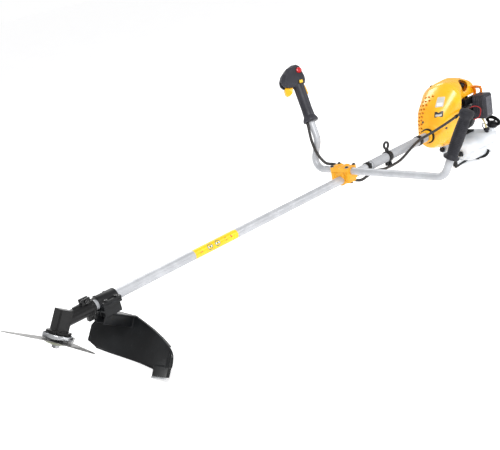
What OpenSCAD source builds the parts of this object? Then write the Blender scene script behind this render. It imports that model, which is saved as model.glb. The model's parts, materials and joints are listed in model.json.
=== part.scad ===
// Petrol brush cutter: bevel-gear head, tube boom, bicycle handlebar, two-stroke engine.
// Machine frame: origin where the drive shaft and blade axes meet, +X up the boom to the
// engine, +Y to the operator's right, +Z up. place() sets the machine on the floor plane.

/* [Boom] */
// Outside diameter of the boom tube
boom_d = 26; // [24:0.5:26]
// Wall of the boom tube
boom_wall = 1.6; // [1.4:0.1:1.8]
// Outside diameter of the textured sleeve at the engine end
sleeve_d = 31; // [30:0.5:31]

/* [Cutting head] */
// Angle between the blade plane and the boom
head_tilt = 33; // [32:0.5:34]
// Distance from the axis crossing down to the middle of the blade
blade_drop = 42.5; // [42.5:0.5:42.5]
// Swept diameter of the three-arm blade
blade_d = 255; // [230:5:255]
// Thickness of the blade
blade_t = 1.4; // [1.2:0.2:1.4]
// Angle of the first blade arm from straight back
blade_phase = 40.8; // [0:0.1:119]

/* [Guard] */
// Inner radius of the guard wall
guard_r = 219; // [215:1:225]
// Wall thickness of the guard
guard_t = 2.8; // [2.4:0.1:3]

/* [Handlebar] */
// Distance of the handlebar clamp from the axis crossing
handle_x = 1036; // [1020:1:1050]
// Outside diameter of the handlebar tube
bar_d = 22; // [22:0.5:22]
// Wall of the handlebar tube
bar_wall = 1.5; // [1.2:0.1:2]

/* [Engine] */
// Distance of the cylinder axis from the axis crossing
cyl_x = 1650; // [1650:1:1650]
// Diameter of the piston and the bore
bore_d = 36; // [34:1:36]
// Travel of the piston
stroke = 30; // [26:1:30]

/* [Rest] */
// Pitch of the boom when the machine stands on its guard and engine stand
rest_pitch = 2.0; // [2:0.1:2]

/* [Hidden] */
$fn = 64;

yellow = [0.97, 0.73, 0.07];
black = [0.10, 0.10, 0.11];
charcoal = [0.23, 0.23, 0.26];
light_grey = [0.80, 0.80, 0.82];
steel = [0.62, 0.62, 0.64];
aluminium = [0.74, 0.75, 0.77];
tank_white = [0.93, 0.93, 0.94];

// Running gap on a radius, and the seam left between parts that are bolted together
run = 0.04;
seam = 0.06;
tiny = 0.01;

boom_r = boom_d / 2;
bar_r = bar_d / 2;
bore_r = bore_d / 2;
sleeve_r = sleeve_d / 2;

// ---- placing -------------------------------------------------------------------------

stand_x = 1690;
foot_drop = 142.6;
axis_z = foot_drop * cos(rest_pitch) + stand_x * sin(rest_pitch);

// The machine frame set down on the floor, with the origin under the engine stand
module place() {
    translate([-stand_x, 0, axis_z]) rotate([0, rest_pitch, 0]) children();
}

// Frame of the gear head: +Z is the blade axis, pointing up and back
module head_frame() {
    rotate([0, head_tilt, 0]) children();
}

// Frame of the blade: as the gear head, with its origin in the middle of the blade
module blade_frame() {
    head_frame() translate([0, 0, -blade_drop]) children();
}

// ---- vectors and paths ---------------------------------------------------------------

function unit(v) = v / norm(v);
function side_of(v) = abs(v[2]) < 0.9 ? unit(cross([0, 0, 1], v)) : unit(cross([1, 0, 0], v));
function turn_at(p, i) = acos(unit(p[i] - p[i - 1]) * unit(p[i + 1] - p[i]));
function trim_at(p, bend, i) = (i == 0 || i == len(p) - 1) ? 0 : bend * tan(turn_at(p, i) / 2);

// Puts children at p with their +X along x and their +Z along z
module frame_at(p, x, z) {
    y = cross(z, x);
    multmatrix([[x[0], y[0], z[0], p[0]], [x[1], y[1], z[1], p[1]],
        [x[2], y[2], z[2], p[2]], [0, 0, 0, 1]]) children();
}

// Round bar along X
module xcyl(x0, x1, r) {
    translate([x0, 0, 0]) rotate([0, 90, 0]) cylinder(h = x1 - x0, r = r);
}

// Ring along X
module xring(x0, x1, ro, ri) {
    difference() {
        xcyl(x0, x1, ro);
        xcyl(x0 - 1, x1 + 1, ri);
    }
}

// Block given by its two corners
module block(lo, hi) {
    translate(lo) cube(hi - lo);
}

// Section of a tube, or of a bar when wall is 0
module tube_section(r, wall) {
    difference() {
        circle(r = r);
        if (wall > 0) circle(r = r - wall);
    }
}

// Normal of the plane in which the path turns at its inner point i
function plane_at(p, i) = unit(cross(p[i] - p[i - 1], p[i + 1] - p[i]));
// Angle from one turning plane to the next
function roll_at(p, i) = i < 2 ? 0 : let (was = plane_at(p, i - 1), now = plane_at(p, i))
    atan2(cross(was, now) * unit(p[i] - p[i - 1]), was * now);

// Straight runs reach into the bends by lap, and the bends are thicker by swell
lap = 0.5;
swell = 0.05;

// One straight run of a path along +Z, then its bend towards +X, then the runs after it
module tube_run(p, bend, r, wall, i) {
    run_len = norm(p[i + 1] - p[i]) - trim_at(p, bend, i) - trim_at(p, bend, i + 1);
    first = i == 0 ? 0 : lap;
    last = i + 2 == len(p) ? 0 : lap;
    translate([0, 0, -first]) linear_extrude(run_len + first + last) tube_section(r, wall);
    if (i + 2 < len(p)) {
        turn = turn_at(p, i + 1);
        translate([0, 0, run_len]) rotate([0, 0, roll_at(p, i + 1)]) translate([bend, 0, 0]) {
            rotate([90, 0, 0]) rotate([0, 0, 180 - turn])
                rotate_extrude(angle = turn) translate([bend, 0]) tube_section(r + swell, wall);
            rotate([0, turn, 0]) translate([-bend, 0, 0]) tube_run(p, bend, r, wall, i + 1);
        }
    }
}

// Tube through the points p, bent to one radius at every inner point
module tube_path(p, bend, r, wall = 0) {
    z = unit(p[1] - p[0]);
    frame_at(p[0], unit(cross(plane_at(p, 1), z)), z) tube_run(p, bend, r, wall, 0);
}

// Box with its edges along Z rounded to r
module soft_block(lo, hi, r) {
    w = hi - lo;
    translate(lo + [r, r, 0]) linear_extrude(w[2]) union() {
        translate([0, -r]) square([w[0] - 2 * r, w[1]]);
        translate([-r, 0]) square([w[0], w[1] - 2 * r]);
        for (x = [0, w[0] - 2 * r], y = [0, w[1] - 2 * r]) translate([x, y]) circle(r = r);
    }
}

// Solid with rounded corners all over, hulled from eight balls
module pebble(lo, hi, r) {
    hull() for (x = [lo[0] + r, hi[0] - r], y = [lo[1] + r, hi[1] - r], z = [lo[2] + r, hi[2] - r])
        translate([x, y, z]) sphere(r = r, $fn = 24);
}

// ---- boom ----------------------------------------------------------------------------

tube_x0 = 46;
tube_x1 = 1498;
sleeve_x0 = 1168;
sleeve_x1 = 1482;
shaft_r = 3.5;
bush_places = [300, 560, 820, 1080, 1340];

module boom_tube() {
    color(light_grey) xring(tube_x0, tube_x1, boom_r, boom_r - boom_wall);
}

module boom_sleeve() {
    color([0.72, 0.73, 0.75]) xring(sleeve_x0, sleeve_x1, sleeve_r, boom_r + run);
}

// Plastic bushes that keep the long shaft from whipping
module shaft_bushes() {
    color(black) for (x = bush_places) {
        xring(x, x + 22, boom_r - boom_wall - run, 8);
        xring(x - 4, x + 26, 8, shaft_r + run);
    }
}

module drive_shaft() {
    color(steel) union() {
        xcyl(37, 1519, shaft_r);
        xcyl(15, 37 + tiny, 2.5);
    }
}

// ---- bevel gears ---------------------------------------------------------------------

pinion_teeth = 14;
driven_teeth = 19;
pinion_pitch_r = 8.5;
shaft_angle = 90 + head_tilt;
pinion_cone = atan2(sin(shaft_angle), driven_teeth / pinion_teeth + cos(shaft_angle));
driven_cone = shaft_angle - pinion_cone;
cone_out = pinion_pitch_r / sin(pinion_cone);
cone_in = 0.64 * cone_out;
// Heights of tooth tip and root, and half the tooth width, per unit of cone distance
tip_rise = 0.066;
root_fall = 0.085;
tooth_half = 0.055;

// Point of a tooth: k along the cone, rise off it, side in units of the tooth's half width
function tooth_point(cone, k, rise, side) =
    let (axial = k * (cos(cone) - rise * sin(cone)),
        radial = k * (sin(cone) + rise * cos(cone)),
        half = side * tooth_half * k * (1 - 5 * rise) / radial * 180 / PI)
    [radial * cos(half), radial * sin(half), axial];

module bevel_tooth(cone) {
    root = -root_fall - 0.02;
    pts = [for (k = [cone_in, cone_out], rise = [root, tip_rise], side = [-1, 1])
        tooth_point(cone, k, rise, side)];
    polyhedron(pts, [[2, 3, 1, 0], [5, 7, 6, 4], [1, 5, 4, 0], [6, 7, 3, 2],
        [4, 6, 2, 0], [3, 7, 5, 1]]);
}

function root_point(cone, k) = [k * (sin(cone) - root_fall * cos(cone)),
    k * (cos(cone) + root_fall * sin(cone))];

module bevel_teeth(cone, count, phase) {
    for (i = [0 : count - 1]) rotate([0, 0, (i + phase) * 360 / count]) bevel_tooth(cone);
}

pinion_hub_r = 4;

module pinion_gear() {
    low = root_point(pinion_cone, cone_in);
    high = root_point(pinion_cone, cone_out);
    color(steel) rotate([0, 90, 0]) difference() {
        union() {
            rotate_extrude() polygon([[0, low[1]], low, high, [high[0], 11.5], [6, 14],
                [pinion_hub_r, 14], [pinion_hub_r, 36], [0, 36]]);
            bevel_teeth(pinion_cone, pinion_teeth, 0);
        }
        translate([0, 0, 14.5]) cylinder(h = 30, r = 2.5 + run);
    }
}

spindle_r = 5;
spindle_seat_r = 6;

module driven_gear() {
    low = root_point(driven_cone, cone_in);
    high = root_point(driven_cone, cone_out);
    color(steel) head_frame() rotate([180, 0, 0]) union() {
        rotate_extrude() polygon([[spindle_r + run, low[1]], low, high, [high[0], 6.6],
            [7, 8.5], [7, 10.8], [spindle_r + run, 10.8]]);
        bevel_teeth(driven_cone, driven_teeth, 0.5);
    }
}

// ---- cutting head --------------------------------------------------------------------

case_half = 17;
case_top = 30;
neck_r = 17;
neck_end = 88;
// Seats of the two blade-spindle bearings and of the two pinion bearings
upper_seat = [-19, -11];
lower_seat = [-30.4, -20.4];
pinion_seats = [[19.6, 26.6], [27.2, 34.2]];
drum_seat = [1503, 1514];
crank_front_seat = [1606, 1614];
crank_rear_seat = [1686, 1694];

module gear_case() {
    color(black) difference() {
        union() {
            head_frame() {
                intersection() {
                    translate([0, 0, -19]) cylinder(h = 19 + case_top, r = 22);
                    block([-case_half, -case_half, -30], [case_half, case_half, case_top]);
                }
                translate([0, 0, -31.4]) cylinder(h = 14, r = 20.5);
                difference() {
                    translate([0, 0, -26.4]) cylinder(h = 6.4, r = 29.5);
                    for (a = [0 : 45 : 315]) rotate([0, 0, a]) translate([31, 0, -30])
                        cylinder(h = 20, r = 4.5);
                }
            }
            xcyl(4, neck_end, neck_r);
            xcyl(neck_end - 6, neck_end, neck_r + 1.5);
            for (y = [-8, 2]) block([58, y, 12], [82, y + 6, 29]);
            block([66, -6, -30], [86, 6, -14]);
            block([36, -3, 13], [58, 3, 20]);
        }
        head_frame() {
            translate([0, 0, -19.1]) cylinder(h = 22, r = 13 + run);
            translate([0, 0, -25]) cylinder(h = 20, r = 8);
            translate([0, 0, -32]) cylinder(h = 12, r = 16 + run);
        }
        xcyl(3, 19.3, 10.6);
        xcyl(19, 34.4, 11 + run);
        xcyl(34, 45, 9);
        xcyl(44, 100, boom_r + run);
        block([56, -2, 12], [100, 2, 31]);
        translate([70, 0, 22]) rotate([90, 0, 0]) cylinder(h = 40, r = 2.6, center = true);
        translate([76, 0, -23]) rotate([90, 0, 0]) cylinder(h = 40, r = 3.2, center = true);
    }
}

// One sealed bearing along Z: a ring with a shallow shield groove in each face
module bearing(bore, outer, width) {
    mid = (bore + outer) / 2;
    difference() {
        cylinder(h = width, r = outer);
        translate([0, 0, -1]) cylinder(h = width + 2, r = bore + run);
        for (z = [-1, width - 0.6]) translate([0, 0, z]) difference() {
            cylinder(h = 1.6, r = mid + (outer - mid) * 0.5);
            cylinder(h = 1.6, r = mid - (mid - bore) * 0.5);
        }
    }
}

module x_bearing(seat, bore, outer) {
    translate([seat[0], 0, 0]) rotate([0, 90, 0]) bearing(bore, outer, seat[1] - seat[0]);
}

crank_r = 6;

module ball_bearings() {
    color(steel) {
        for (s = pinion_seats) x_bearing(s, pinion_hub_r, 11);
        head_frame() {
            translate([0, 0, upper_seat[0]]) bearing(spindle_r, 13, 8);
            translate([0, 0, lower_seat[0]]) bearing(spindle_seat_r, 16, 10);
        }
        x_bearing(drum_seat, 7.5, 17.5);
        x_bearing(crank_front_seat, crank_r, 14);
        x_bearing(crank_rear_seat, crank_r, 14);
    }
}

module output_spindle() {
    color(steel) head_frame() {
        translate([0, 0, -19.6]) cylinder(h = 16.8, r = spindle_r);
        translate([0, 0, -44]) cylinder(h = 24.4, r = spindle_seat_r);
        translate([0, 0, -60]) cylinder(h = 17, r = spindle_r);
    }
}

blade_top = -blade_drop + blade_t / 2 + 0.05;
blade_bottom = -blade_drop - blade_t / 2 - 0.05;

// Silver upper flange: a shallow cup over the gear-case foot that also centres the blade
module blade_adapter() {
    color(aluminium) head_frame() difference() {
        union() {
            rotate_extrude() polygon([[8, -31.6], [12, -31.6], [12, -35], [32.5, -35], [33, -27.4],
                [34.5, -27.4], [35.5, -28.6], [35.5, -36], [33.5, -38.4], [15, -38.6],
                [15, blade_top], [8, blade_top]]);
            translate([0, 0, blade_bottom + 0.2]) cylinder(h = 11, r = 12.65);
        }
        translate([0, 0, -60]) cylinder(h = 40, r = spindle_seat_r + run);
    }
}

module blade_arm() {
    tip = blade_d / 2;
    polygon([[0, -34], [36, -29], [66, -21], [tip - 16, -9], [tip - 2, -2.6], [tip, 0],
        [tip - 2, 2.6], [tip - 16, 9], [66, 21], [36, 29], [0, 34]]);
}

module blade() {
    color(steel) blade_frame() rotate([0, 0, blade_phase]) translate([0, 0, -blade_t / 2])
        linear_extrude(blade_t) difference() {
            union() {
                circle(r = 36);
                for (a = [0, 120, 240]) rotate(a) blade_arm();
            }
            circle(r = 12.7);
            for (a = [60, 180, 300]) rotate(a) translate([25, 0]) circle(r = 3);
        }
}

cup_top = blade_bottom - 0.05;

module cup_washer() {
    color([0.45, 0.45, 0.38]) head_frame() rotate_extrude() polygon([
        [spindle_seat_r + 0.6, cup_top - 0.2], [13, cup_top - 0.2], [13, cup_top - 4], [28, cup_top - 1.6],
        [31, cup_top], [32, cup_top], [32, cup_top - 1.8], [27.5, cup_top - 4.2], [21, cup_top - 6.6],
        [13.5, cup_top - 8], [spindle_seat_r + 0.6, cup_top - 8]]);
}

module blade_nut() {
    color(steel) head_frame() difference() {
        union() {
            translate([0, 0, cup_top - 9.8]) cylinder(h = 1.7, r = 11);
            translate([0, 0, cup_top - 15]) cylinder(h = 6, r = 9.8, $fn = 6);
        }
        translate([0, 0, -80]) cylinder(h = 60, r = spindle_r + run);
    }
}

// ---- guard ---------------------------------------------------------------------------

// Centre of the guard wall's curve in the blade frame, and the wall's ends as angles
wall_centre = [2, -86];
wall_from = -24;
wall_to = 52;
clamp_x = [98, 151];

// Height of the wall's edges against Y: the far end, the level part under the deck, the
// long slope of the near side and its rounded corner
module wall_outline() {
    polygon([[86, 36], [76, 66], [64, 84], [6, 84], [-129, 38], [-152, 27], [-166, 10], [-172, -4],
        [-100, -26], [16, -21], [69, -16], [86, -2]]);
}

module wall_band(ri, ro) {
    translate([wall_centre[0], wall_centre[1], -40]) rotate([0, 0, wall_from])
        rotate_extrude(angle = wall_to - wall_from) translate([ri, 0]) square([ro - ri, 130]);
}

module guard_wall() {
    intersection() {
        wall_band(guard_r, guard_r + guard_t);
        rotate([90, 0, 90]) linear_extrude(400) wall_outline();
    }
}

// Flange along the sloping top edge, standing outwards
module guard_rim() {
    intersection() {
        wall_band(guard_r, guard_r + 11);
        rotate([90, 0, 90]) linear_extrude(400)
            polygon([[10, 84], [64, 84], [64, 81.4], [8, 81.4], [-129, 35.4], [-129, 38]]);
    }
}

deck_plan = [[84, -22], [84, 22], [120, 30], [175, 64], [240, 64], [240, 2], [140, -22]];

module guard_deck() {
    intersection() {
        translate([wall_centre[0], wall_centre[1], 40]) cylinder(h = 60, r = guard_r + 1);
        union() {
            translate([0, 0, 81]) linear_extrude(3) polygon(deck_plan);
            rib_to([100, -19], [217, 10]);
            rib_to([100, 19], [202, 60]);
            rib_to([92, 0], [212, 34]);
        }
    }
}

// Upright rib under the deck between two points of its plan
module rib_to(a, b) {
    w = unit([a[1] - b[1], b[0] - a[0]]) * 1.5;
    translate([0, 0, 54]) linear_extrude(28) polygon([a - w, b - w, b + w, a + w]);
}

module guard_shell() {
    color(black) difference() {
        union() {
            blade_frame() {
                guard_wall();
                guard_rim();
                guard_deck();
                knife_block();
            }
            difference() {
                union() {
                    xcyl(clamp_x[0], clamp_x[1], 20);
                    block([clamp_x[0], -30, -8], [clamp_x[1], 30, 0]);
                    block([clamp_x[0] + 4, -22, -34], [clamp_x[1] - 2, 22, -8]);
                }
                block([0, -50, -seam], [300, 50, 60]);
            }
        }
        xcyl(clamp_x[0] - 30, clamp_x[1] + 60, boom_r + run);
        clamp_bolt_holes();
    }
}

clamp_bolt_places = [[110, -25], [110, 25], [139, -25], [139, 25]];

module clamp_bolt_holes() {
    for (p = clamp_bolt_places) translate([p[0], p[1], -40]) cylinder(h = 80, r = 2.6);
}

module guard_clamp() {
    color(black) difference() {
        union() {
            xcyl(clamp_x[0], clamp_x[1], 20);
            block([clamp_x[0], -30, 0], [clamp_x[1], 30, 7]);
        }
        block([0, -50, -60], [300, 50, seam]);
        xcyl(clamp_x[0] - 4, clamp_x[1] + 4, boom_r + run);
        clamp_bolt_holes();
    }
}

// Block under the near end of the wall that carries the line knife
knife_from = -20;
knife_to = -1;
knife_z = -48;
knife_rise = 15;

// Curved block between two radii, its lower edge climbing by knife_rise to its near end
module knife_arc(z0, z1, ri, ro) {
    intersection() {
        translate([wall_centre[0], wall_centre[1], -80]) rotate([0, 0, knife_from])
            rotate_extrude(angle = knife_to - knife_from) translate([ri, 0]) square([ro - ri, 120]);
        rotate([90, 0, 90]) linear_extrude(400)
            polygon([[-80, z0], [-165, z0 + knife_rise], [-165, z1 + knife_rise], [-80, z1]]);
    }
}

module knife_block() {
    knife_arc(knife_z + 3, -19, guard_r - 1, guard_r + 7);
}

module line_cutter() {
    color([0.8, 0.8, 0.82]) blade_frame()
        knife_arc(knife_z - 1.4, knife_z + 3 - seam, guard_r - 1, guard_r + 1.2);
}

// ---- handlebar -----------------------------------------------------------------------

bar_z = boom_r + bar_r + 2;
block_half = [23, 36];
cap_top = bar_z + bar_r + 4;
cap_bolts = [for (x = [-17.5, 17.5], y = [-29, 29]) [handle_x + x, y]];
saddle_bolts = [for (y = [-24, 24]) [handle_x, y]];
bar_bend = 34;

left_corner = [handle_x, -360, bar_z];
left_dir = unit([30, -72, 174]);
left_grip_at = left_corner + left_dir * 58;
left_grip_len = 142;
right_corner = [handle_x, 124, bar_z];
right_knee = [1053, 102, 116];
throttle_dir = unit([29, 67, 157]);
throttle_at = right_knee + throttle_dir * 62;

module handle_block() {
    color(yellow) difference() {
        soft_block([handle_x - block_half[0], -block_half[1], seam],
            [handle_x + block_half[0], block_half[1], bar_z - seam], 6);
        xcyl(handle_x - 60, handle_x + 60, boom_r + run);
        translate([handle_x, 60, bar_z]) rotate([90, 0, 0]) cylinder(h = 120, r = bar_r + run);
        for (p = cap_bolts) translate([p[0], p[1], 8]) cylinder(h = 60, r = 2.6);
        for (p = saddle_bolts) translate([p[0], p[1], -4]) cylinder(h = 12, r = 3.1);
        for (x = [-1, 1], y = [-1, 1]) translate([handle_x + x * 27, y * 16, -1])
            cylinder(h = 60, r = 8);
    }
}

module handle_cap() {
    color(yellow) difference() {
        soft_block([handle_x - block_half[0], -block_half[1], bar_z + seam],
            [handle_x + block_half[0], block_half[1], cap_top], 6);
        translate([handle_x, 60, bar_z]) rotate([90, 0, 0]) cylinder(h = 120, r = bar_r + run);
        for (p = cap_bolts) translate([p[0], p[1], 0]) cylinder(h = 60, r = 2.6);
        for (y = [-1, 1]) translate([handle_x, y * 13, cap_top + 8]) rotate([0, 90, 0])
            cylinder(h = 80, r = 11, center = true);
    }
}

module handle_saddle() {
    color(yellow) difference() {
        union() {
            soft_block([handle_x - 20, -32, -9], [handle_x + 20, 32, -seam], 6);
            xcyl(handle_x - 20, handle_x + 20, boom_r + 5);
        }
        block([handle_x - 60, -60, -seam], [handle_x + 60, 60, 60]);
        xcyl(handle_x - 60, handle_x + 60, boom_r + run);
        for (p = saddle_bolts) translate([p[0], p[1], -20]) cylinder(h = 30, r = 3.1);
    }
}

module handlebar() {
    color(light_grey) tube_path([left_corner + left_dir * 188, left_corner, right_corner, right_knee,
        right_knee + throttle_dir * 170], bar_bend, bar_r, bar_wall);
}

// Plain rubber grip: bottom flange, waist, finger swell and closed bulb
module left_grip() {
    n = left_grip_len;
    color(charcoal) frame_at(left_grip_at, side_of(left_dir), left_dir) difference() {
        rotate_extrude() polygon([[0, 0], [20, 0], [22, 2], [22, 5], [17, 9], [15.5, 18], [16.5, 40],
            [17, n * 0.55], [16.4, n - 34], [18, n - 26], [20.5, n - 19], [21, n - 10], [18.5, n - 4],
            [12, n], [0, n]]);
        translate([0, 0, -1]) cylinder(h = 132, r = bar_r + run);
    }
}

// ---- throttle grip -------------------------------------------------------------------

// The grip's own frame: +Z up the grip, +X towards the trigger, turned a little outwards
grip_fore = unit(cross(throttle_dir, cross([-0.94, 0.34, 0], throttle_dir)));

module grip_frame() {
    frame_at(throttle_at, grip_fore, throttle_dir) children();
}

neck_z = 125;
trigger_pivot = [27, neck_z + 7];
lockout_pivot = [-16, neck_z - 3];
stop_at = [-9, neck_z + 43];
lock_at = [-3, neck_z + 6];
slot_half = 6;
head_half = 21;

// Side view of the grip's head, with x towards the trigger
head_outline = [[-19, 0], [-25, 12], [-26, 24], [-20, 58], [-10, 66], [8, 66], [28, 58], [46, 43],
    [57, 26], [59, 12], [52, 1], [36, -4], [19, -5]];

module grip_solid() {
    rotate_extrude() polygon([[0, 0], [22, 0], [25, 3], [24, 9], [18.5, 20], [17.5, 45], [18, 80],
        [18, neck_z + 4], [0, neck_z + 4]]);
    hull() {
        translate([0, 0, neck_z]) rotate([90, 0, 0]) linear_extrude(24, center = true)
            polygon(head_outline);
        translate([0, 0, neck_z]) rotate([90, 0, 0]) linear_extrude(2 * head_half, center = true)
            polygon([[-15, 6], [-19, 24], [-12, 56], [8, 57], [38, 38], [48, 18], [36, 5]]);
    }
}

// Everything that is cut out of the grip: bar bore, conduit way, trigger and lever slots
module grip_cuts() {
    translate([0, 0, -1]) cylinder(h = 111, r = bar_r + run);
    translate([15.5, 0, -1]) cylinder(h = 14, r = 4.3);
    block([13.6, -slot_half, neck_z - 42], [60, slot_half, neck_z + 22]);
    block([-26, -slot_half, neck_z - 38], [-12.4, slot_half, neck_z + 3]);
    translate([stop_at[0], 0, stop_at[1]]) rotate([-90, 0, 0]) cylinder(h = 40, r = 9.6);
    block([lock_at[0] - 5.6, 14.4, lock_at[1] - 4.6], [lock_at[0] + 9, 30, lock_at[1] + 4.6]);
}

module grip_half(from_y, to_y) {
    color(charcoal) grip_frame() difference() {
        intersection() {
            grip_solid();
            block([-80, from_y, -10], [80, to_y, 200]);
        }
        grip_cuts();
        pivot_holes();
    }
}

module pivot_holes() {
    translate([trigger_pivot[0], 0, trigger_pivot[1]]) rotate([90, 0, 0])
        cylinder(h = 22, r = 1.55, center = true);
    translate([lockout_pivot[0], 0, lockout_pivot[1]]) rotate([90, 0, 0])
        cylinder(h = 15, r = 1.55, center = true);
}

module throttle_grip_left() {
    grip_half(seam / 2, 40);
}

module throttle_grip_right() {
    grip_half(-40, -seam / 2);
}

// Lever on its own pivot pin, extruded across the grip's slot
module grip_lever(pivot, hub_r, pin_len, outline) {
    translate([pivot[0], 0, pivot[1]]) rotate([90, 0, 0]) {
        linear_extrude(2 * slot_half - 0.8, center = true) polygon(outline);
        cylinder(h = 2 * slot_half - 0.8, r = hub_r, center = true);
        cylinder(h = pin_len, r = 1.5, center = true);
    }
}

module throttle_trigger() {
    color(yellow) grip_frame() grip_lever(trigger_pivot, 4, 20,
        [[-4, 2], [8, 2], [20, -5], [26, -14], [27, -27], [22, -35], [12, -34], [3, -27], [-3, -14]]);
}

module trigger_lockout() {
    color(yellow) grip_frame() grip_lever(lockout_pivot, 2.6, 14,
        [[-2, 1], [-4, -6], [-5.4, -20], [-5.4, -30], [-3, -33], [-1, -30], [-0.4, -12], [2, -2]]);
}

module stop_switch() {
    color([0.75, 0.1, 0.12]) grip_frame() translate([stop_at[0], 0, stop_at[1]]) rotate([-90, 0, 0])
        rotate_extrude() polygon([[0, 12], [9.4, 12], [9.4, 23], [8.4, 24.8], [5, 26], [0, 26.4]]);
}

module lock_button() {
    color([0.95, 0.8, 0.3]) grip_frame()
        block([lock_at[0] - 5.4, 14.6, lock_at[1] - 4.4], [lock_at[0] + 5, 23.6, lock_at[1] + 4.4]);
}

// ---- cable, clips and harness hanger ---------------------------------------------------

conduit_r = 3.4;
conduit_start = throttle_at + grip_fore * 15.5 + throttle_dir * 3;
conduit_path = [conduit_start, conduit_start - throttle_dir * 14, [1031, 108, 120], [1036, 99, 79],
    [1037, 72, 46], [1063, 46, 34], [1073, 32, -8], [1092, -10, -28], [1158, -22, -13],
        [1212, -26, -24], [1290, -28, -20], [1368, -27, 4],
    [1424, -22, 10], [1476, -44, 24], [1506, -76, 44], [1560, -92, 60], [1640, -92, 70]];

module throttle_conduit() {
    color(black) tube_path(conduit_path, 15, conduit_r);
}

module clip_band(x, r_in) {
    difference() {
        union() {
            xcyl(x - 8, x + 8, r_in + 2.2);
            block([x - 6, -r_in - 3.4, r_in - 8], [x + 6, -r_in + 3, r_in - 1]);
        }
        xcyl(x - 9, x + 9, r_in + run);
    }
}

module cable_clips() {
    color(black) {
        clip_band(1150, boom_r);
        clip_band(1440, sleeve_r);
    }
}

hanger_x = 1262;
eye_z = 38;
eye_r = 8;

module harness_hanger() {
    color(black) difference() {
        union() {
            xcyl(hanger_x - 9, hanger_x + 9, sleeve_r + 3.2);
            block([hanger_x - 9, -7.5, -30], [hanger_x + 9, 7.5, -15]);
            translate([hanger_x - 7, -3, 15]) cube([14, 6, 16]);
            translate([hanger_x, 3, eye_z]) rotate([90, 0, 0]) cylinder(h = 6, r = 14);
        }
        xcyl(hanger_x - 20, hanger_x + 20, sleeve_r + run);
        block([hanger_x - 20, -1.2, -40], [hanger_x + 20, 1.2, -14]);
        translate([hanger_x, 20, eye_z]) rotate([90, 0, 0]) cylinder(h = 40, r = eye_r);
        translate([hanger_x, 20, -24]) rotate([90, 0, 0]) cylinder(h = 40, r = 2.6);
    }
}

// ---- clutch and crank ------------------------------------------------------------------

drum_x = [1520, 1544];
drum_in = 27;
drum_out = 29.5;
shoe_x = [1526, 1541];
shoe_r = 26.2;
boss_half = 6;
fly_x = 1552;

module clutch_drum() {
    color(steel) difference() {
        union() {
            xcyl(drum_x[0], drum_x[1], drum_out);
            xcyl(1502, drum_x[0] + 1, 7.5);
        }
        xcyl(drum_x[0] + 3, drum_x[1] + 1, drum_in);
        xcyl(1490, drum_x[0], shaft_r + run);
    }
}

module clutch_shoe() {
    difference() {
        xcyl(shoe_x[0], shoe_x[1], shoe_r);
        block([1500, -40, -40], [1560, boss_half + 0.5, 40]);
        translate([1500, 11, 0]) rotate([0, 90, 0]) cylinder(h = 60, r = 3);
    }
}

module clutch_shoe_a() {
    color([0.5, 0.48, 0.45]) clutch_shoe();
}

module clutch_shoe_b() {
    color([0.5, 0.48, 0.45]) mirror([0, 1, 0]) clutch_shoe();
}

fan_blades = 12;

module flywheel() {
    color(aluminium) difference() {
        union() {
            xcyl(fly_x, fly_x + 5, 50);
            xcyl(fly_x - 8, fly_x + 24, 13);
            block([shoe_x[0] - 1, -boss_half, -14], [fly_x, boss_half, 14]);
            for (a = [0 : 360 / fan_blades : 359]) rotate([a, 0, 0])
                block([fly_x + 4, -1.2, 24], [fly_x + 18, 1.2, 49]);
        }
        xcyl(1500, 1600, crank_r + run);
    }
}

web_r = 24;
web_x = [[cyl_x - 16, cyl_x - 8], [cyl_x + 8, cyl_x + 16]];
throw_r = stroke / 2;
rod_len = 52;

module crank_web(x) {
    intersection() {
        xcyl(x[0], x[1], web_r);
        translate([x[0] - 1, -16, -30]) cube([12, 32, 52]);
    }
}

module crankshaft() {
    color(steel) {
        xcyl(1526, web_x[0][0] + 1, crank_r);
        crank_web(web_x[0]);
        crank_web(web_x[1]);
        xcyl(web_x[1][1] - 1, 1726, crank_r);
    }
}

piston_pin_z = throw_r + rod_len;
crown = 16;
skirt = 12;

module piston() {
    color(aluminium) difference() {
        translate([cyl_x, 0, piston_pin_z - skirt]) cylinder(h = crown + skirt, r = bore_r);
        translate([cyl_x, 0, piston_pin_z - skirt - 1]) cylinder(h = crown + skirt - 3, r = bore_r - 3);
    }
    color(steel) translate([cyl_x, 0, piston_pin_z]) rotate([0, 90, 0])
        cylinder(h = 2 * bore_r - 4, r = 4, center = true);
}

// The crank pin stays in the rod's big end, and stops short of the webs
module connecting_rod() {
    color(steel) {
        difference() {
            union() {
                translate([cyl_x - 4, 0, throw_r]) rotate([0, 90, 0]) cylinder(h = 8, r = 8.4);
                translate([cyl_x - 4, 0, piston_pin_z]) rotate([0, 90, 0]) cylinder(h = 8, r = 7);
                block([cyl_x - 2.5, -4, throw_r + 6], [cyl_x + 2.5, 4, piston_pin_z - 5]);
            }
            translate([cyl_x - 9, 0, throw_r]) rotate([0, 90, 0]) cylinder(h = 18, r = 5 + run);
            translate([cyl_x - 9, 0, piston_pin_z]) rotate([0, 90, 0]) cylinder(h = 18, r = 4 + run);
        }
        translate([cyl_x - 7.8, 0, throw_r]) rotate([0, 90, 0]) cylinder(h = 15.6, r = 5);
    }
}

// ---- engine block ----------------------------------------------------------------------

case_x = [1594, cyl_x, 1698];
deck_z = 38;
bore_top = piston_pin_z + crown + 1.4;
head_top = 122;
fin_half = 32;

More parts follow.
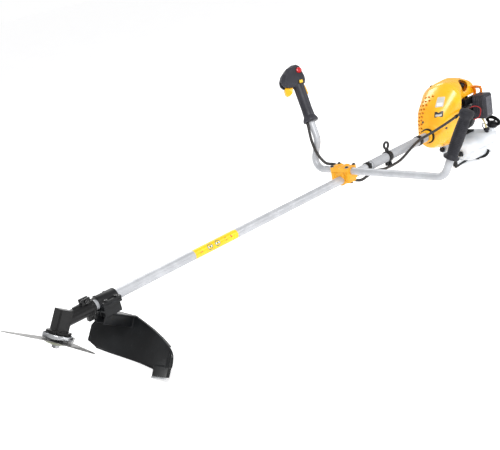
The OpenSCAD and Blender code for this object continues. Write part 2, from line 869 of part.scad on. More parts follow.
module crankcase_body(x0, x1) {
    difference() {
        union() {
            xcyl(x0, x1, 36);
            block([max(x0, cyl_x - 32), -32, 0], [min(x1, cyl_x + 32), 32, deck_z - seam]);
            block([x0, -30, -42], [x1, 30, 0]);
        }
        xcyl(cyl_x - 18, cyl_x + 18, 26);
        xcyl(x0 - 1, x1 + 1, crank_r + 1);
        translate([cyl_x, 0, 0]) cylinder(h = 60, r = bore_r + 0.4);
    }
}

module crankcase_front() {
    color(aluminium) difference() {
        crankcase_body(case_x[0], case_x[1] - seam);
        xcyl(crank_front_seat[0] - 0.2, crank_front_seat[1] + 0.2, 14 + run);
        xcyl(case_x[0] - 1, crank_front_seat[0], 12);
    }
}

module crankcase_rear() {
    color(aluminium) difference() {
        crankcase_body(case_x[1] + seam, case_x[2]);
        xcyl(crank_rear_seat[0] - 0.2, crank_rear_seat[1] + 0.2, 14 + run);
        xcyl(crank_rear_seat[1], case_x[2] + 1, 12);
    }
}

plug_tilt = 38;
plug_at = [cyl_x, -4, bore_top + 6];

module plug_frame() {
    translate(plug_at) rotate([plug_tilt, 0, 0]) children();
}

module cylinder_fins() {
    for (z = [deck_z + 10 : 8 : head_top - 4]) soft_block([cyl_x - fin_half, -fin_half, z],
        [cyl_x + fin_half, fin_half, z + 2.4], 8);
}

module cylinder_block() {
    color(aluminium) difference() {
        union() {
            translate([cyl_x, 0, deck_z]) cylinder(h = bore_top + 9 - deck_z, r = bore_r + 5);
            translate([cyl_x - 28, -28, deck_z]) cube([56, 56, 6]);
            translate([cyl_x, 0, bore_top + 8]) cylinder(h = head_top - bore_top - 8, r = 15);
            cylinder_fins();
            block([cyl_x - 16, 10, 56], [cyl_x + 16, fin_half + 2, 76]);
            block([cyl_x - 16, -fin_half - 10, 56], [cyl_x + 16, -10, 76]);
        }
        translate([cyl_x, 0, 0]) cylinder(h = bore_top, r = bore_r + run);
        plug_frame() {
            translate([0, 0, -16]) cylinder(h = 40, r = 5 + run);
            translate([0, 0, 10]) cylinder(h = 60, r = 13);
        }
        translate([cyl_x, 0, 66]) rotate([90, 0, 0]) cylinder(h = 100, r = 7, center = true);
    }
}

module spark_plug() {
    color([0.9, 0.9, 0.88]) plug_frame() {
        translate([0, 0, 0]) cylinder(h = 12, r = 5);
        translate([0, 0, 10.1]) cylinder(h = 9, r = 9, $fn = 6);
        translate([0, 0, 19]) cylinder(h = 18, r = 4.5);
    }
}

module plug_boot() {
    color(black) plug_frame() difference() {
        union() {
            translate([0, 0, 22]) cylinder(h = 26, r = 8);
            translate([0, 0, 41]) rotate([-70, 0, 0]) cylinder(h = 22, r = 6);
        }
        translate([0, 0, 20]) cylinder(h = 17.2, r = 4.5 + run);
    }
}

module ignition_coil() {
    color(black) {
        block([1553, -18, 54], [1572, 18, 62]);
        block([1550, -11, 62 - tiny], [1578, 11, 80]);
    }
}

// ---- covers ----------------------------------------------------------------------------

housing_x = [1496, 1592];
socket_r = 21;
skin = 2.6;

// One step of the fan housing's outside: a disc at x, centred at y and z
module housing_disc(x, y, z, r) {
    translate([x, y, z]) rotate([0, 90, 0]) cylinder(h = 3, r = r, $fn = 48);
}

module housing_hull(inset) {
    hull() {
        housing_disc(1512 + inset, 4, 0, 44 - inset);
        housing_disc(1530, 26, 40, 52 - inset);
        housing_disc(housing_x[1] - 3, 22, 6, 74 - inset);
        housing_disc(housing_x[1] - 3, 12, 74, 78 - inset);
        housing_disc(housing_x[1] - 3, -10, 10, 62 - inset);
    }
}

module fan_housing() {
    color(yellow) difference() {
        union() {
            difference() {
                housing_hull(0);
                intersection() {
                    housing_hull(skin);
                    xcyl(1546, 1700, 200);
                }
            }
            xcyl(1486, 1520, socket_r);
        }
        xcyl(1480, 1502.9, boom_r + run);
        xcyl(drum_seat[0] - 0.1, drum_seat[1] + 0.1, 17.5 + run);
        xcyl(1502, 1519, 12);
        xcyl(1517.5, 1560, 33);
        xcyl(1545, 1600, 55);
        block([housing_x[1] - tiny, -200, -200], [1700, 200, 300]);
        for (row = [0 : 6]) housing_louvre(row);
    }
}

// One slot of the fan's air inlet, on the rounded far side of the front
module housing_louvre(row) {
    for (col = [0 : 2]) translate([1500, 44 + 15 * col - row * 1.5, -12 + row * 14 + col * 3])
        rotate([14, 0, 0]) block([0, -5, -2], [70, 5, 2]);
}

cover_lo = [1594, -58, 44];
cover_hi = [1716, 84, 172];

module cylinder_cover() {
    color(yellow) difference() {
        hull() {
            pebble(cover_lo + [0, 0, 10], [1660, cover_hi[1], 168], 26);
            pebble([1630, -50, 60], cover_hi, 22);
        }
        hull() {
            pebble(cover_lo + [skin, skin, -24], [1660, cover_hi[1] - skin, 168 - skin], 24);
            pebble([1630, -50 + skin, 30], cover_hi - [skin, skin, skin], 20);
        }
        block([1580, -100, 0], [1740, 100, 54]);
        block([1580, -100, 0], [cover_lo[0] + 9, 100, 400]);
        plug_frame() translate([0, 0, 30]) cylinder(h = 60, r = 19);
        block([1600, -100, 0], [1740, -32, 98]);
        block([1600, 60, 0], [1740, 140, 96]);
    }
}

// ---- exhaust and intake ----------------------------------------------------------------

module muffler() {
    color([0.45, 0.45, 0.47]) difference() {
        union() {
            pebble([cyl_x - 30, 42, 40], [cyl_x + 34, 84, 92], 9);
            block([cyl_x - 15, fin_half + 2.1, 56], [cyl_x + 15, 46, 76]);
        }
        translate([cyl_x, fin_half, 66]) rotate([-90, 0, 0]) cylinder(h = 22, r = 6);
        translate([cyl_x + 18, 100, 54]) rotate([90, 0, 0]) cylinder(h = 30, r = 5);
    }
}

carb_y = [-66, -42.2];
base_y = [-80, -66.2];
filter_lo = [1672, -130, 14];
filter_hi = [1726, -80.3, 98];
choke_pivot = [1668, 88];

module carburettor() {
    color(steel) difference() {
        union() {
            block([cyl_x - 16, carb_y[0], 46], [cyl_x + 16, carb_y[1], 80]);
            translate([cyl_x, -54, 79]) cylinder(h = 8, r = 8);
            translate([cyl_x + 2, -54, 34]) cylinder(h = 13, r = 11);
        }
        translate([cyl_x, 0, 66]) rotate([90, 0, 0]) cylinder(h = 100, r = 7);
        translate([cyl_x + 2, -54, 33]) cylinder(h = 11, r = 8);
    }
}

module air_filter_base() {
    color(black) difference() {
        union() {
            block([cyl_x - 20, base_y[0], 44], [1724, base_y[1], 94]);
            block([1674, base_y[0], 16], [1724, base_y[0] + 6, 94]);
        }
        translate([cyl_x, 0, 66]) rotate([90, 0, 0]) cylinder(h = 100, r = 7);
        translate([choke_pivot[0], -60, choke_pivot[1]]) rotate([90, 0, 0]) cylinder(h = 30, r = 2.1);
        block([1684, -81, 30], [1716, base_y[0] + 3, 84]);
    }
}

module choke_lever() {
    color(black) translate([choke_pivot[0], 0, choke_pivot[1]]) rotate([90, 0, 0]) {
        translate([0, 0, 62]) cylinder(h = 16, r = 2);
        translate([0, 0, 60]) cylinder(h = 5.8, r = 5);
        translate([-3.5, 0, 60]) cube([7, 24, 5.8]);
        translate([0, 24, 60]) cylinder(h = 5.8, r = 6);
    }
}

module primer_bulb() {
    color([0.85, 0.82, 0.7]) translate([cyl_x + 2, -54, 0]) rotate_extrude()
        polygon([[0, 39], [7.8, 39], [7.8, 33], [7.2, 28.6], [4.5, 25.6], [0, 24.6]]);
}

module air_filter_cover() {
    w = filter_hi - filter_lo;
    color(charcoal) translate([filter_lo[0], filter_hi[1], filter_lo[2]]) rotate([90, 0, 0])
        difference() {
            union() {
                soft_block([0, 0, 0], [w[0], w[2], w[1] - 3], 7);
                soft_block([3, 3, 0], [w[0] - 3, w[2] - 3, w[1]], 5);
            }
            soft_block([3.5, 3.5, -1], [w[0] - 3.5, w[2] - 3.5, w[1] - 4], 4);
        }
}

// ---- fuel ------------------------------------------------------------------------------

tank_lo = [1606, -108, -132];
tank_hi = [1806, 34, -48];
cap_at = [1776, -84, -50];
cap_tilt = 20;
grommet_at = [1744, -84, -49];

module cap_frame() {
    translate(cap_at) rotate([cap_tilt, 0, 0]) children();
}

module fuel_tank() {
    color(tank_white) difference() {
        union() {
            hull() {
                pebble(tank_lo + [0, 10, 6], [tank_hi[0] - 30, tank_hi[1], tank_hi[2]], 22);
                pebble(tank_lo + [24, 0, 0], [tank_hi[0], tank_hi[1] - 20, tank_hi[2] - 6], 26);
            }
            cap_frame() translate([0, 0, -20]) cylinder(h = 30, r = 14);
        }
        hull() {
            pebble(tank_lo + [3, 13, 9], [tank_hi[0] - 33, tank_hi[1] - 3, tank_hi[2] - 3], 20);
            pebble(tank_lo + [27, 3, 3], [tank_hi[0] - 3, tank_hi[1] - 23, tank_hi[2] - 9], 24);
        }
        cap_frame() translate([0, 0, -30]) cylinder(h = 50, r = 11);
        translate(grommet_at - [0, 0, 30]) cylinder(h = 60, r = 7 + run);
    }
}

module fuel_cap() {
    color(black) cap_frame() difference() {
        union() {
            translate([0, 0, -4]) cylinder(h = 18, r = 10.9);
            translate([0, 0, 10.1]) cylinder(h = 14, r = 18);
        }
        for (a = [0 : 30 : 330]) rotate([0, 0, a]) translate([19.4, 0, 9]) cylinder(h = 16, r = 2.6);
    }
}

module fuel_lines() {
    color([0.9, 0.86, 0.6]) {
        tube_path([grommet_at + [-3, 0, 12], [1741, -74, 14], [1694, -54, 40],
            [cyl_x + 19, -54, 60]], 12, 2);
        tube_path([grommet_at + [3, 0, 12], [1747, -66, 4], [1690, -46, 22],
            [cyl_x + 16, -47, 40]], 12, 2);
    }
    color(black) translate(grommet_at) difference() {
        union() {
            translate([0, 0, -6]) cylinder(h = 12, r = 7);
            translate([0, 0, 2]) cylinder(h = 9, r = 9.5);
        }
        for (x = [-3, 3]) translate([x, 0, 9.8]) cylinder(h = 10, r = 2 + run);
    }
}

// ---- starter ---------------------------------------------------------------------------

starter_x = [1698.1, 1744];
starter_r = 43;
pulley_x = [1729, 1739];
pulley_r = 25;
rope_z = pulley_r - 1;
rope_exit = starter_r + 3;

module starter_housing() {
    color(black) difference() {
        union() {
            xcyl(starter_x[0], starter_x[1], starter_r);
            block([1722, -10, 20], [starter_x[1], rope_exit, 40]);
        }
        xcyl(starter_x[0] + 5, starter_x[1] - 3, starter_r - 4);
        xcyl(starter_x[0] - 1, starter_x[0] + 6, 15);
        translate([1734, 0, rope_z]) rotate([-90, 0, 0]) cylinder(h = 80, r = 3);
        for (a = [0 : 30 : 330]) rotate([a, 0, 0]) block([1740, -1.8, 18], [1750, 1.8, 36]);
    }
    color(black) xcyl(1730, starter_x[1] - 1, 4);
}

module starter_pulley() {
    color(light_grey) difference() {
        union() {
            xcyl(pulley_x[0], pulley_x[0] + 2, pulley_r + 5);
            xcyl(pulley_x[0], pulley_x[1], pulley_r - 3);
            xcyl(pulley_x[1] - 2, pulley_x[1], pulley_r + 5);
        }
        xcyl(pulley_x[0] - 1, pulley_x[1] + 1, 4 + run);
    }
}

module starter_rope() {
    color([0.85, 0.85, 0.85]) translate([1734, rope_exit - 2, rope_z]) rotate([-90, 0, 0])
        cylinder(h = 9, r = 1.6);
}

module starter_handle() {
    color(black) translate([1734, rope_exit + 7.1, rope_z]) difference() {
        union() {
            pebble([-32, 4, -8], [32, 20, 8], 7);
            rotate([-90, 0, 0]) cylinder(h = 8, r = 7);
        }
        rotate([-90, 0, 0]) translate([0, 0, -1]) cylinder(h = 10, r = 1.6 + run);
    }
}

// ---- stand -----------------------------------------------------------------------------

stand_y = -38;

// Low foot under the tank: a bracket under the crankcase, a front strip, and a spine on the
// floor with two cross bars
module engine_stand() {
    color(black) union() {
        place() {
            block([1594, -42, -46], [1600, 40, -42.2]);
            block([1594, -42, -foot_drop + 2], [1600, -26, -45]);
        }
        translate([-100, stand_y, 0]) cube([190, 8, 5]);
        for (x = [-3, 82]) {
            translate([x, -66, 0]) cube([6, 96, 5]);
            for (y = [-66, 30]) translate([x + 3, y, 0]) cylinder(h = 5, r = 6);
        }
    }
}

// ---- fasteners -------------------------------------------------------------------------

// Socket-head screw pointing down -Z from its head's seat
module screw(r, len) {
    difference() {
        union() {
            translate([0, 0, -len]) cylinder(h = len + tiny, r = r);
            cylinder(h = 1.6 * r, r = 1.75 * r);
        }
        translate([0, 0, 0.7 * r]) cylinder(h = 2 * r, r = 0.9 * r, $fn = 6);
    }
}

module fasteners() {
    color([0.15, 0.15, 0.16]) {
        for (p = cap_bolts) translate([p[0], p[1], cap_top + 0.05]) screw(2.5, 30);
        for (p = saddle_bolts) translate([p[0], p[1], -9.05]) rotate([180, 0, 0]) screw(3, 16);
        for (p = clamp_bolt_places) translate([p[0], p[1], 7.05]) screw(2.5, 14.5);
        translate([70, -8.05, 22]) rotate([90, 0, 0]) screw(2.5, 15);
        translate([hanger_x, -7.55, -24]) rotate([90, 0, 0]) screw(2.5, 14);
    }
}

// ---- all nodes -------------------------------------------------------------------------

place() boom_tube();
place() boom_sleeve();
place() shaft_bushes();
place() gear_case();
place() ball_bearings();
place() guard_clamp();
place() guard_shell();
place() line_cutter();
place() handle_saddle();
place() handle_block();
place() handle_cap();
place() handlebar();
place() left_grip();
place() throttle_grip_left();
place() throttle_grip_right();
place() throttle_conduit();
place() cable_clips();
place() harness_hanger();
place() fan_housing();
place() crankcase_front();
place() crankcase_rear();
place() cylinder_block();  // cylinder
place() ignition_coil();
place() spark_plug();
place() plug_boot();
place() cylinder_cover();
place() muffler();
place() carburettor();
place() air_filter_base();
place() fuel_tank();
place() fuel_lines();
place() starter_housing();
engine_stand();
place() fasteners();
place() blade();
place() blade_adapter();
place() cup_washer();
place() blade_nut();
place() output_spindle();
place() driven_gear();
place() drive_shaft();
place() pinion_gear();
place() clutch_drum();
place() crankshaft();
place() flywheel();
place() clutch_shoe_a();
place() clutch_shoe_b();
place() piston();
place() connecting_rod();
place() throttle_trigger();
place() trigger_lockout();
place() stop_switch();
place() lock_button();
place() choke_lever();
place() primer_bulb();
place() fuel_cap();
place() starter_pulley();
place() starter_handle();
place() starter_rope();
place() air_filter_cover();
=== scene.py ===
"""Looks of a petrol brush cutter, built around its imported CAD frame."""

import json
import math

import bmesh
import bpy
from mathutils import Matrix, Vector
from mathutils.bvhtree import BVHTree


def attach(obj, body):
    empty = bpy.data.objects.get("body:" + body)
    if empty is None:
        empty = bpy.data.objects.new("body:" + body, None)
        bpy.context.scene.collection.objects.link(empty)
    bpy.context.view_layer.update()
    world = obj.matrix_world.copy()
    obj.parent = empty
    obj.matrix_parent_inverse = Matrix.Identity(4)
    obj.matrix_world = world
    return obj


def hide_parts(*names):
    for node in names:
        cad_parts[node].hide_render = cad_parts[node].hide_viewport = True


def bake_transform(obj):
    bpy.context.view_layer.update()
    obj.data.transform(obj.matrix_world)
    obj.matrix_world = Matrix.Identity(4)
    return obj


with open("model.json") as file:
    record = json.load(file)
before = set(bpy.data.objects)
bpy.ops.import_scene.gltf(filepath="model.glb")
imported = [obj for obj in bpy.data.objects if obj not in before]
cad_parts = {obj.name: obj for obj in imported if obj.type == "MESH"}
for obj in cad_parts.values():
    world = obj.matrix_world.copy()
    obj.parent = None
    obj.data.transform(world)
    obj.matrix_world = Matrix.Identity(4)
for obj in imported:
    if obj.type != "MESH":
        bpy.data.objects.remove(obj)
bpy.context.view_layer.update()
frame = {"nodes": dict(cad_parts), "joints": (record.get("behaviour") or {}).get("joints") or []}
nodes = frame["nodes"]
joints = {j["name"]: j for j in frame["joints"]}

# ---- frames: every piece below is drawn in millimetres in one of these ------------------

ORIGIN = Vector(joints["cutter_spin"]["pos_m"])
X_AXIS = Vector(joints["driveline_spin"]["axis"]).normalized()
Y_AXIS = Vector((0, 1, 0))
Z_AXIS = X_AXIS.cross(Y_AXIS)
MM = 0.001


def axes(x, y, z, at=(0, 0, 0)):
    """Matrix whose columns are x, y, z, moved to at."""
    turn = Matrix((x, y, z)).transposed().to_4x4()
    return Matrix.Translation(at) @ turn


MACHINE = axes(X_AXIS, Y_AXIS, Z_AXIS, ORIGIN) @ Matrix.Scale(MM, 4)
HEAD = MACHINE @ Matrix.Rotation(math.radians(33), 4, "Y")
BLADE = HEAD @ Matrix.Translation((0, 0, -42.5))
ALONG_X = Matrix.Rotation(math.radians(90), 4, "Y")

LEFT_CORNER = Vector((1036, -360, 26))
LEFT_DIR = Vector((30, -72, 174)).normalized()
RIGHT_KNEE = Vector((1053, 102, 116))
THROTTLE_DIR = Vector((29, 67, 157)).normalized()
THROTTLE_AT = RIGHT_KNEE + THROTTLE_DIR * 62


def grip_axes():
    z = THROTTLE_DIR
    x = z.cross(Vector((-0.94, 0.34, 0)).cross(z)).normalized()
    return axes(x, z.cross(x), z, THROTTLE_AT)


GRIP = MACHINE @ grip_axes()
LEFT_GRIP = MACHINE @ axes(
    LEFT_DIR.orthogonal().normalized(),
    LEFT_DIR.cross(LEFT_DIR.orthogonal().normalized()),
    LEFT_DIR,
    LEFT_CORNER + LEFT_DIR * 58,
)

# ---- mesh parts: (vertices, faces) -------------------------------------------------------


def join(*parts):
    verts, faces = [], []
    for v, f in parts:
        base = len(verts)
        verts += list(v)
        faces += [tuple(i + base for i in face) for face in f]
    return verts, faces


def moved(part, matrix):
    return [matrix @ Vector(v) for v in part[0]], part[1]


def skin(rings, loop=False, caps=True):
    """Surface through rings of equal length; loop closes it end to end."""
    n = len(rings[0])
    verts = [p for ring in rings for p in ring]
    count = len(rings)
    faces = []
    for i in range(count if loop else count - 1):
        a, b = i * n, (i + 1) % count * n
        for j in range(n):
            k = (j + 1) % n
            faces.append((a + j, a + k, b + k, b + j))
    if caps and not loop:
        faces.append(tuple(reversed(range(n))))
        faces.append(tuple((count - 1) * n + j for j in range(n)))
    return verts, faces


def circle(r, z, n, wave=None):
    out = []
    for j in range(n):
        a = 2 * math.pi * j / n
        q = r + (wave(a) if wave else 0)
        out.append((q * math.cos(a), q * math.sin(a), z))
    return out


def lathe(profile, n=48, loop=False, wave=None):
    """Solid turned about Z from (radius, height) points."""
    return skin([circle(max(r, 0.02), z, n, wave) for r, z in profile], loop=loop)


def spline(points, step=3.0):
    """Catmull-Rom curve through the points, sampled about every step millimetres."""
    pts = [Vector(p) for p in points]
    pts = [2 * pts[0] - pts[1]] + pts + [2 * pts[-1] - pts[-2]]
    out = []
    for i in range(1, len(pts) - 2):
        a, b, c, d = pts[i - 1 : i + 3]
        n = max(2, round((c - b).length / step))
        for k in range(n):
            t = k / n
            out.append(
                0.5
                * (
                    2 * b
                    + (c - a) * t
                    + (2 * a - 5 * b + 4 * c - d) * t * t
                    + (3 * b - a - 3 * c + d) * t * t * t
                )
            )
    return out + [pts[-2]]


def tube(points, r, n=14, step=3.0, flat=None):
    """Round cord along a curve; flat=(width, thickness, up) makes a strap instead."""
    path = spline(points, step)
    side = None
    rings = []
    for i, p in enumerate(path):
        way = (path[min(i + 1, len(path) - 1)] - path[max(i - 1, 0)]).normalized()
        if flat:
            side = way.cross(Vector(flat[2])).normalized()
        elif side is None:
            side = way.orthogonal().normalized()
        else:
            side = (side - way * side.dot(way)).normalized()
        up = side.cross(way)
        ring = []
        for j in range(n):
            a = 2 * math.pi * j / n
            c, s = math.cos(a), math.sin(a)
            if flat:
                c = math.copysign(abs(c) ** 0.4, c) * flat[0] / 2
                s = math.copysign(abs(s) ** 0.7, s) * flat[1] / 2
            else:
                c, s = c * r, s * r
            ring.append(p + side * c + up * s)
        rings.append(ring)
    return skin(rings)


def rounded_box(lo, hi, r, segments=3):
    bm = bmesh.new()
    bmesh.ops.create_cube(bm, size=1)
    lo, hi = Vector(lo), Vector(hi)
    for v in bm.verts:
        v.co = Vector([lo[k] if v.co[k] < 0 else hi[k] for k in range(3)])
    bmesh.ops.bevel(
        bm, geom=bm.edges[:], offset=r, segments=segments, profile=0.5, affect="EDGES"
    )
    bm.verts.index_update()
    part = [v.co.copy() for v in bm.verts], [
        tuple(v.index for v in f.verts) for f in bm.faces
    ]
    bm.free()
    return part


def prism(outline, z0, z1):
    """Straight prism over a plan outline."""
    return skin([[(x, y, z0) for x, y in outline], [(x, y, z1) for x, y in outline]])


def slot_outline(length, width, n=6):
    out = []
    for side in (1, -1):
        for k in range(n + 1):
            a = side * math.pi / 2 - math.pi * k / n
            out.append(
                (
                    side * (length - width) / 2 + width / 2 * math.cos(a),
                    width / 2 * math.sin(a),
                )
            )
    return out


def super_ring(x, y0, y1, z0, z1, power, n=72):
    """Squarish closed ring across X."""
    out = []
    for j in range(n):
        a = 2 * math.pi * (j + 0.5) / n
        c, s = math.cos(a), math.sin(a)
        out.append(
            (
                x,
                (y0 + y1) / 2 + (y1 - y0) / 2 * math.copysign(abs(c) ** (2 / power), c),
                (z0 + z1) / 2 + (z1 - z0) / 2 * math.copysign(abs(s) ** (2 / power), s),
            )
        )
    return out


# ---- materials ---------------------------------------------------------------------------


def tone(r, g, b):
    """Colour from 0-255 display values to linear."""
    out = []
    for c in (r, g, b):
        c /= 255
        out.append(c / 12.92 if c <= 0.04045 else ((c + 0.055) / 1.055) ** 2.4)
    return (*out, 1.0)


class Nodes:
    """Short way to write a material's nodes."""

    def __init__(self, name):
        self.mat = bpy.data.materials.new(name)
        self.mat.use_nodes = True
        self.tree = self.mat.node_tree
        self.shader = self.tree.nodes["Principled BSDF"]
        self.place = self.add("ShaderNodeTexCoord").outputs["Object"]

    def add(self, kind, **values):
        node = self.tree.nodes.new(kind)
        for key, value in values.items():
            setattr(node, key, value)
        return node

    def link(self, a, b):
        self.tree.links.new(a, b)

    def scaled(self, scale):
        node = self.add("ShaderNodeMapping")
        node.inputs["Scale"].default_value = scale
        self.link(self.place, node.inputs["Vector"])
        return node.outputs["Vector"]

    def noise(self, scale, detail=4.0, stretch=None, rough=0.55):
        node = self.add("ShaderNodeTexNoise")
        node.inputs["Scale"].default_value = scale
        node.inputs["Detail"].default_value = detail
        node.inputs["Roughness"].default_value = rough
        self.link(self.scaled(stretch) if stretch else self.place, node.inputs["Vector"])
        return node.outputs["Fac"]

    def ramp(self, fac, low, high, a=0.0, b=1.0):
        node = self.add("ShaderNodeMapRange", interpolation_type="SMOOTHSTEP")
        for key, value in zip(
            ("From Min", "From Max", "To Min", "To Max"), (low, high, a, b)
        ):
            node.inputs[key].default_value = value
        self.link(fac, node.inputs["Value"])
        return node.outputs["Result"]

    def math(self, operation, a, b):
        node = self.add("ShaderNodeMath", operation=operation)
        for socket, value in zip(node.inputs, (a, b)):
            if isinstance(value, (int, float)):
                socket.default_value = value
            else:
                self.link(value, socket)
        return node.outputs["Value"]

    def mix(self, fac, a, b, blend="MIX"):
        node = self.add("ShaderNodeMix", data_type="RGBA", blend_type=blend)
        for socket, value in ((node.inputs[0], fac), (node.inputs[6], a), (node.inputs[7], b)):
            if isinstance(value, (int, float, tuple)):
                socket.default_value = value
            else:
                self.link(value, socket)
        return node.outputs[2]

    def edges(self, radius):
        """1 on edges sharper than the radius, 0 on flat faces."""
        bevel = self.add("ShaderNodeBevel", samples=4)
        bevel.inputs["Radius"].default_value = radius
        geo = self.add("ShaderNodeNewGeometry")
        dot = self.add("ShaderNodeVectorMath", operation="DOT_PRODUCT")
        self.link(bevel.outputs["Normal"], dot.inputs[0])
        self.link(geo.outputs["Normal"], dot.inputs[1])
        return self.ramp(dot.outputs["Value"], 0.985, 0.90)

    def bump(self, heights):
        """Chains (height, strength, distance) bumps into the shader's normal."""
        last = None
        for height, strength, distance in heights:
            node = self.add("ShaderNodeBump")
            node.inputs["Strength"].default_value = strength
            node.inputs["Distance"].default_value = distance
            self.link(height, node.inputs["Height"])
            if last:
                self.link(last, node.inputs["Normal"])
            last = node.outputs["Normal"]
        self.link(last, self.shader.inputs["Normal"])

    def set(self, key, value):
        if isinstance(value, (int, float, tuple)):
            self.shader.inputs[key].default_value = value
        else:
            self.link(value, self.shader.inputs[key])


def plastic(name, main, shade, rough=0.38, grain=1500, depth=0.12, scuff_and_edge_highlight=None, coat=0.0, gloss=0.5):
    """Moulded plastic: uneven colour, fine grain, faint scuffs and edges painted paler as a highlight."""
    m = Nodes(name)
    cloud = m.ramp(m.noise(14, 5), 0.35, 0.68)
    colour = m.mix(cloud, shade, main)
    speck = m.ramp(m.noise(700, 3), 0.62, 0.74, 0, 0.22)
    colour = m.mix(speck, colour, shade)
    scuffs = m.ramp(m.noise(60, 6, (1, 6, 1.5)), 0.63, 0.74)
    if scuff_and_edge_highlight:
        # Edges painted paler as a highlight, mixed with faint real scuffs in the same colour
        rim = m.math("MULTIPLY", m.edges(0.0009), m.ramp(m.noise(90, 4), 0.35, 0.62, 0.15, 0.8))
        colour = m.mix(m.math("MAXIMUM", rim, m.math("MULTIPLY", scuffs, 0.16)), colour, scuff_and_edge_highlight)
    m.set("Base Color", colour)
    m.set("Roughness", m.math("ADD", m.ramp(m.noise(38, 5), 0.3, 0.7, rough - 0.05, rough + 0.09),
                              m.math("MULTIPLY", scuffs, 0.12)))
    m.set("Specular IOR Level", gloss)
    m.set("Coat Weight", coat)
    m.set("Coat Roughness", 0.18)
    m.bump([(m.noise(grain, 2), depth, 0.0002), (m.noise(30, 3), 0.06, 0.001)])
    return m.mat


def metal(name, main, shade, rough=0.3, stretch=(1, 1, 1), metallic=1.0, lines=500, dents=0.05,
          dirt=None, depth=0.12):
    """Metal with a grain along one direction, stains and a painted highlight that brightens every edge."""
    m = Nodes(name)
    stain = m.ramp(m.noise(26, 6), 0.38, 0.66)
    colour = m.mix(stain, shade, main)
    grain = m.noise(lines, 4, stretch)
    colour = m.mix(m.ramp(grain, 0.3, 0.75, 0, 0.35), colour, shade)
    if dirt:
        colour = m.mix(m.ramp(m.noise(45, 6), 0.56, 0.72, 0, 0.7), colour, dirt)
    # Painted highlight: every edge is mixed half way to near white
    painted_edge_highlight = m.math("MULTIPLY", m.edges(0.0006), 0.5)
    colour = m.mix(painted_edge_highlight, colour, tone(225, 225, 222))
    m.set("Base Color", colour)
    m.set("Metallic", metallic)
    m.set("Roughness", m.ramp(grain, 0.25, 0.75, rough - 0.08, rough + 0.14))
    m.bump([(grain, depth, 0.0002), (m.noise(55, 4), dents, 0.001)])
    return m.mat


def cast(name, main, shade, rough=0.5, metallic=0.85, size=420):
    """Sand-cast or shot-blasted metal with a coarse skin."""
    m = Nodes(name)
    skin_noise = m.noise(size, 4)
    colour = m.mix(m.ramp(m.noise(20, 5), 0.35, 0.65), shade, main)
    colour = m.mix(m.ramp(skin_noise, 0.42, 0.62, 0, 0.3), colour, shade)
    # Painted highlight: every edge is mixed part way to a pale grey
    colour = m.mix(m.math("MULTIPLY", m.edges(0.0008), 0.55), colour, tone(214, 214, 212))
    m.set("Base Color", colour)
    m.set("Metallic", metallic)
    m.set("Roughness", m.ramp(skin_noise, 0.3, 0.7, rough - 0.1, rough + 0.12))
    m.bump([(skin_noise, 0.35, 0.0003), (m.noise(70, 3), 0.1, 0.0008)])
    return m.mat


def painted(name, main, shade, rough=0.28, chip=None, orange_peel=0.1, coat=0.35):
    """Paint on metal: orange peel, a clear coat and a few chips on the edges."""
    m = Nodes(name)
    colour = m.mix(m.ramp(m.noise(10, 5), 0.35, 0.68), shade, main)
    colour = m.mix(m.ramp(m.noise(240, 5), 0.66, 0.73, 0, 0.35), colour, shade)
    if chip:
        rim = m.math("MULTIPLY", m.edges(0.0008), m.ramp(m.noise(220, 5), 0.48, 0.58))
        colour = m.mix(rim, colour, chip)
    m.set("Base Color", colour)
    m.set("Roughness", m.ramp(m.noise(34, 5), 0.3, 0.7, rough - 0.06, rough + 0.12))
    m.set("Specular IOR Level", 0.3)
    m.set("Coat Weight", coat)
    m.set("Coat Roughness", 0.16)
    m.bump([(m.noise(420, 2), orange_peel, 0.0003), (m.noise(1800, 2), 0.08, 0.0001)])
    return m.mat


def rubber(name, main, shade, pitch=620, depth=0.5):
    """Soft grip rubber with a stippled skin, duller where hands rub it."""
    m = Nodes(name)
    cells = m.add("ShaderNodeTexVoronoi", feature="SMOOTH_F1")
    cells.inputs["Scale"].default_value = pitch
    m.link(m.place, cells.inputs["Vector"])
    colour = m.mix(m.ramp(m.noise(22, 5), 0.35, 0.66), shade, main)
    colour = m.mix(m.ramp(cells.outputs["Distance"], 0.1, 0.6, 0, 0.35), colour, shade)
    m.set("Base Color", colour)
    m.set("Roughness", m.ramp(m.noise(50, 5), 0.3, 0.7, 0.48, 0.7))
    m.set("Specular IOR Level", 0.3)
    m.bump([(cells.outputs["Distance"], depth, 0.0003), (m.noise(40, 3), 0.08, 0.001)])
    return m.mat


def milky(name, main, shade, depth=0.3, weight=0.35):
    """Blow-moulded translucent plastic, cloudier in its thick parts."""
    m = Nodes(name)
    colour = m.mix(m.ramp(m.noise(12, 5), 0.32, 0.7), shade, main)
    m.set("Base Color", colour)
    m.set("Roughness", m.ramp(m.noise(60, 5), 0.3, 0.7, 0.28, 0.46))
    m.set("Subsurface Weight", weight)
    m.set("Subsurface Radius", (0.012, 0.012, 0.011))
    m.set("Subsurface Scale", 0.6)
    m.set("Coat Weight", 0.2)
    m.bump([(m.noise(900, 3), depth, 0.0002), (m.noise(26, 3), 0.12, 0.001)])
    return m.mat


def banded(name, main, shade, axis, pitch, depth=0.5, rough=0.5):
    """Cord or ribbed cover whose rings cross the given axis."""
    m = Nodes(name)
    wave = m.add("ShaderNodeTexWave", wave_type="BANDS", bands_direction=axis)
    wave.inputs["Scale"].default_value = pitch
    wave.inputs["Distortion"].default_value = 0.6
    m.link(m.place, wave.inputs["Vector"])
    colour = m.mix(m.ramp(wave.outputs["Fac"], 0.1, 0.8), shade, main)
    colour = m.mix(m.ramp(m.noise(120, 5), 0.5, 0.72, 0, 0.4), colour, shade)
    m.set("Base Color", colour)
    m.set("Roughness", m.ramp(m.noise(90, 4), 0.3, 0.7, rough - 0.08, rough + 0.12))
    m.bump([(wave.outputs["Fac"], depth, 0.0004), (m.noise(1400, 2), 0.15, 0.0002)])
    return m.mat


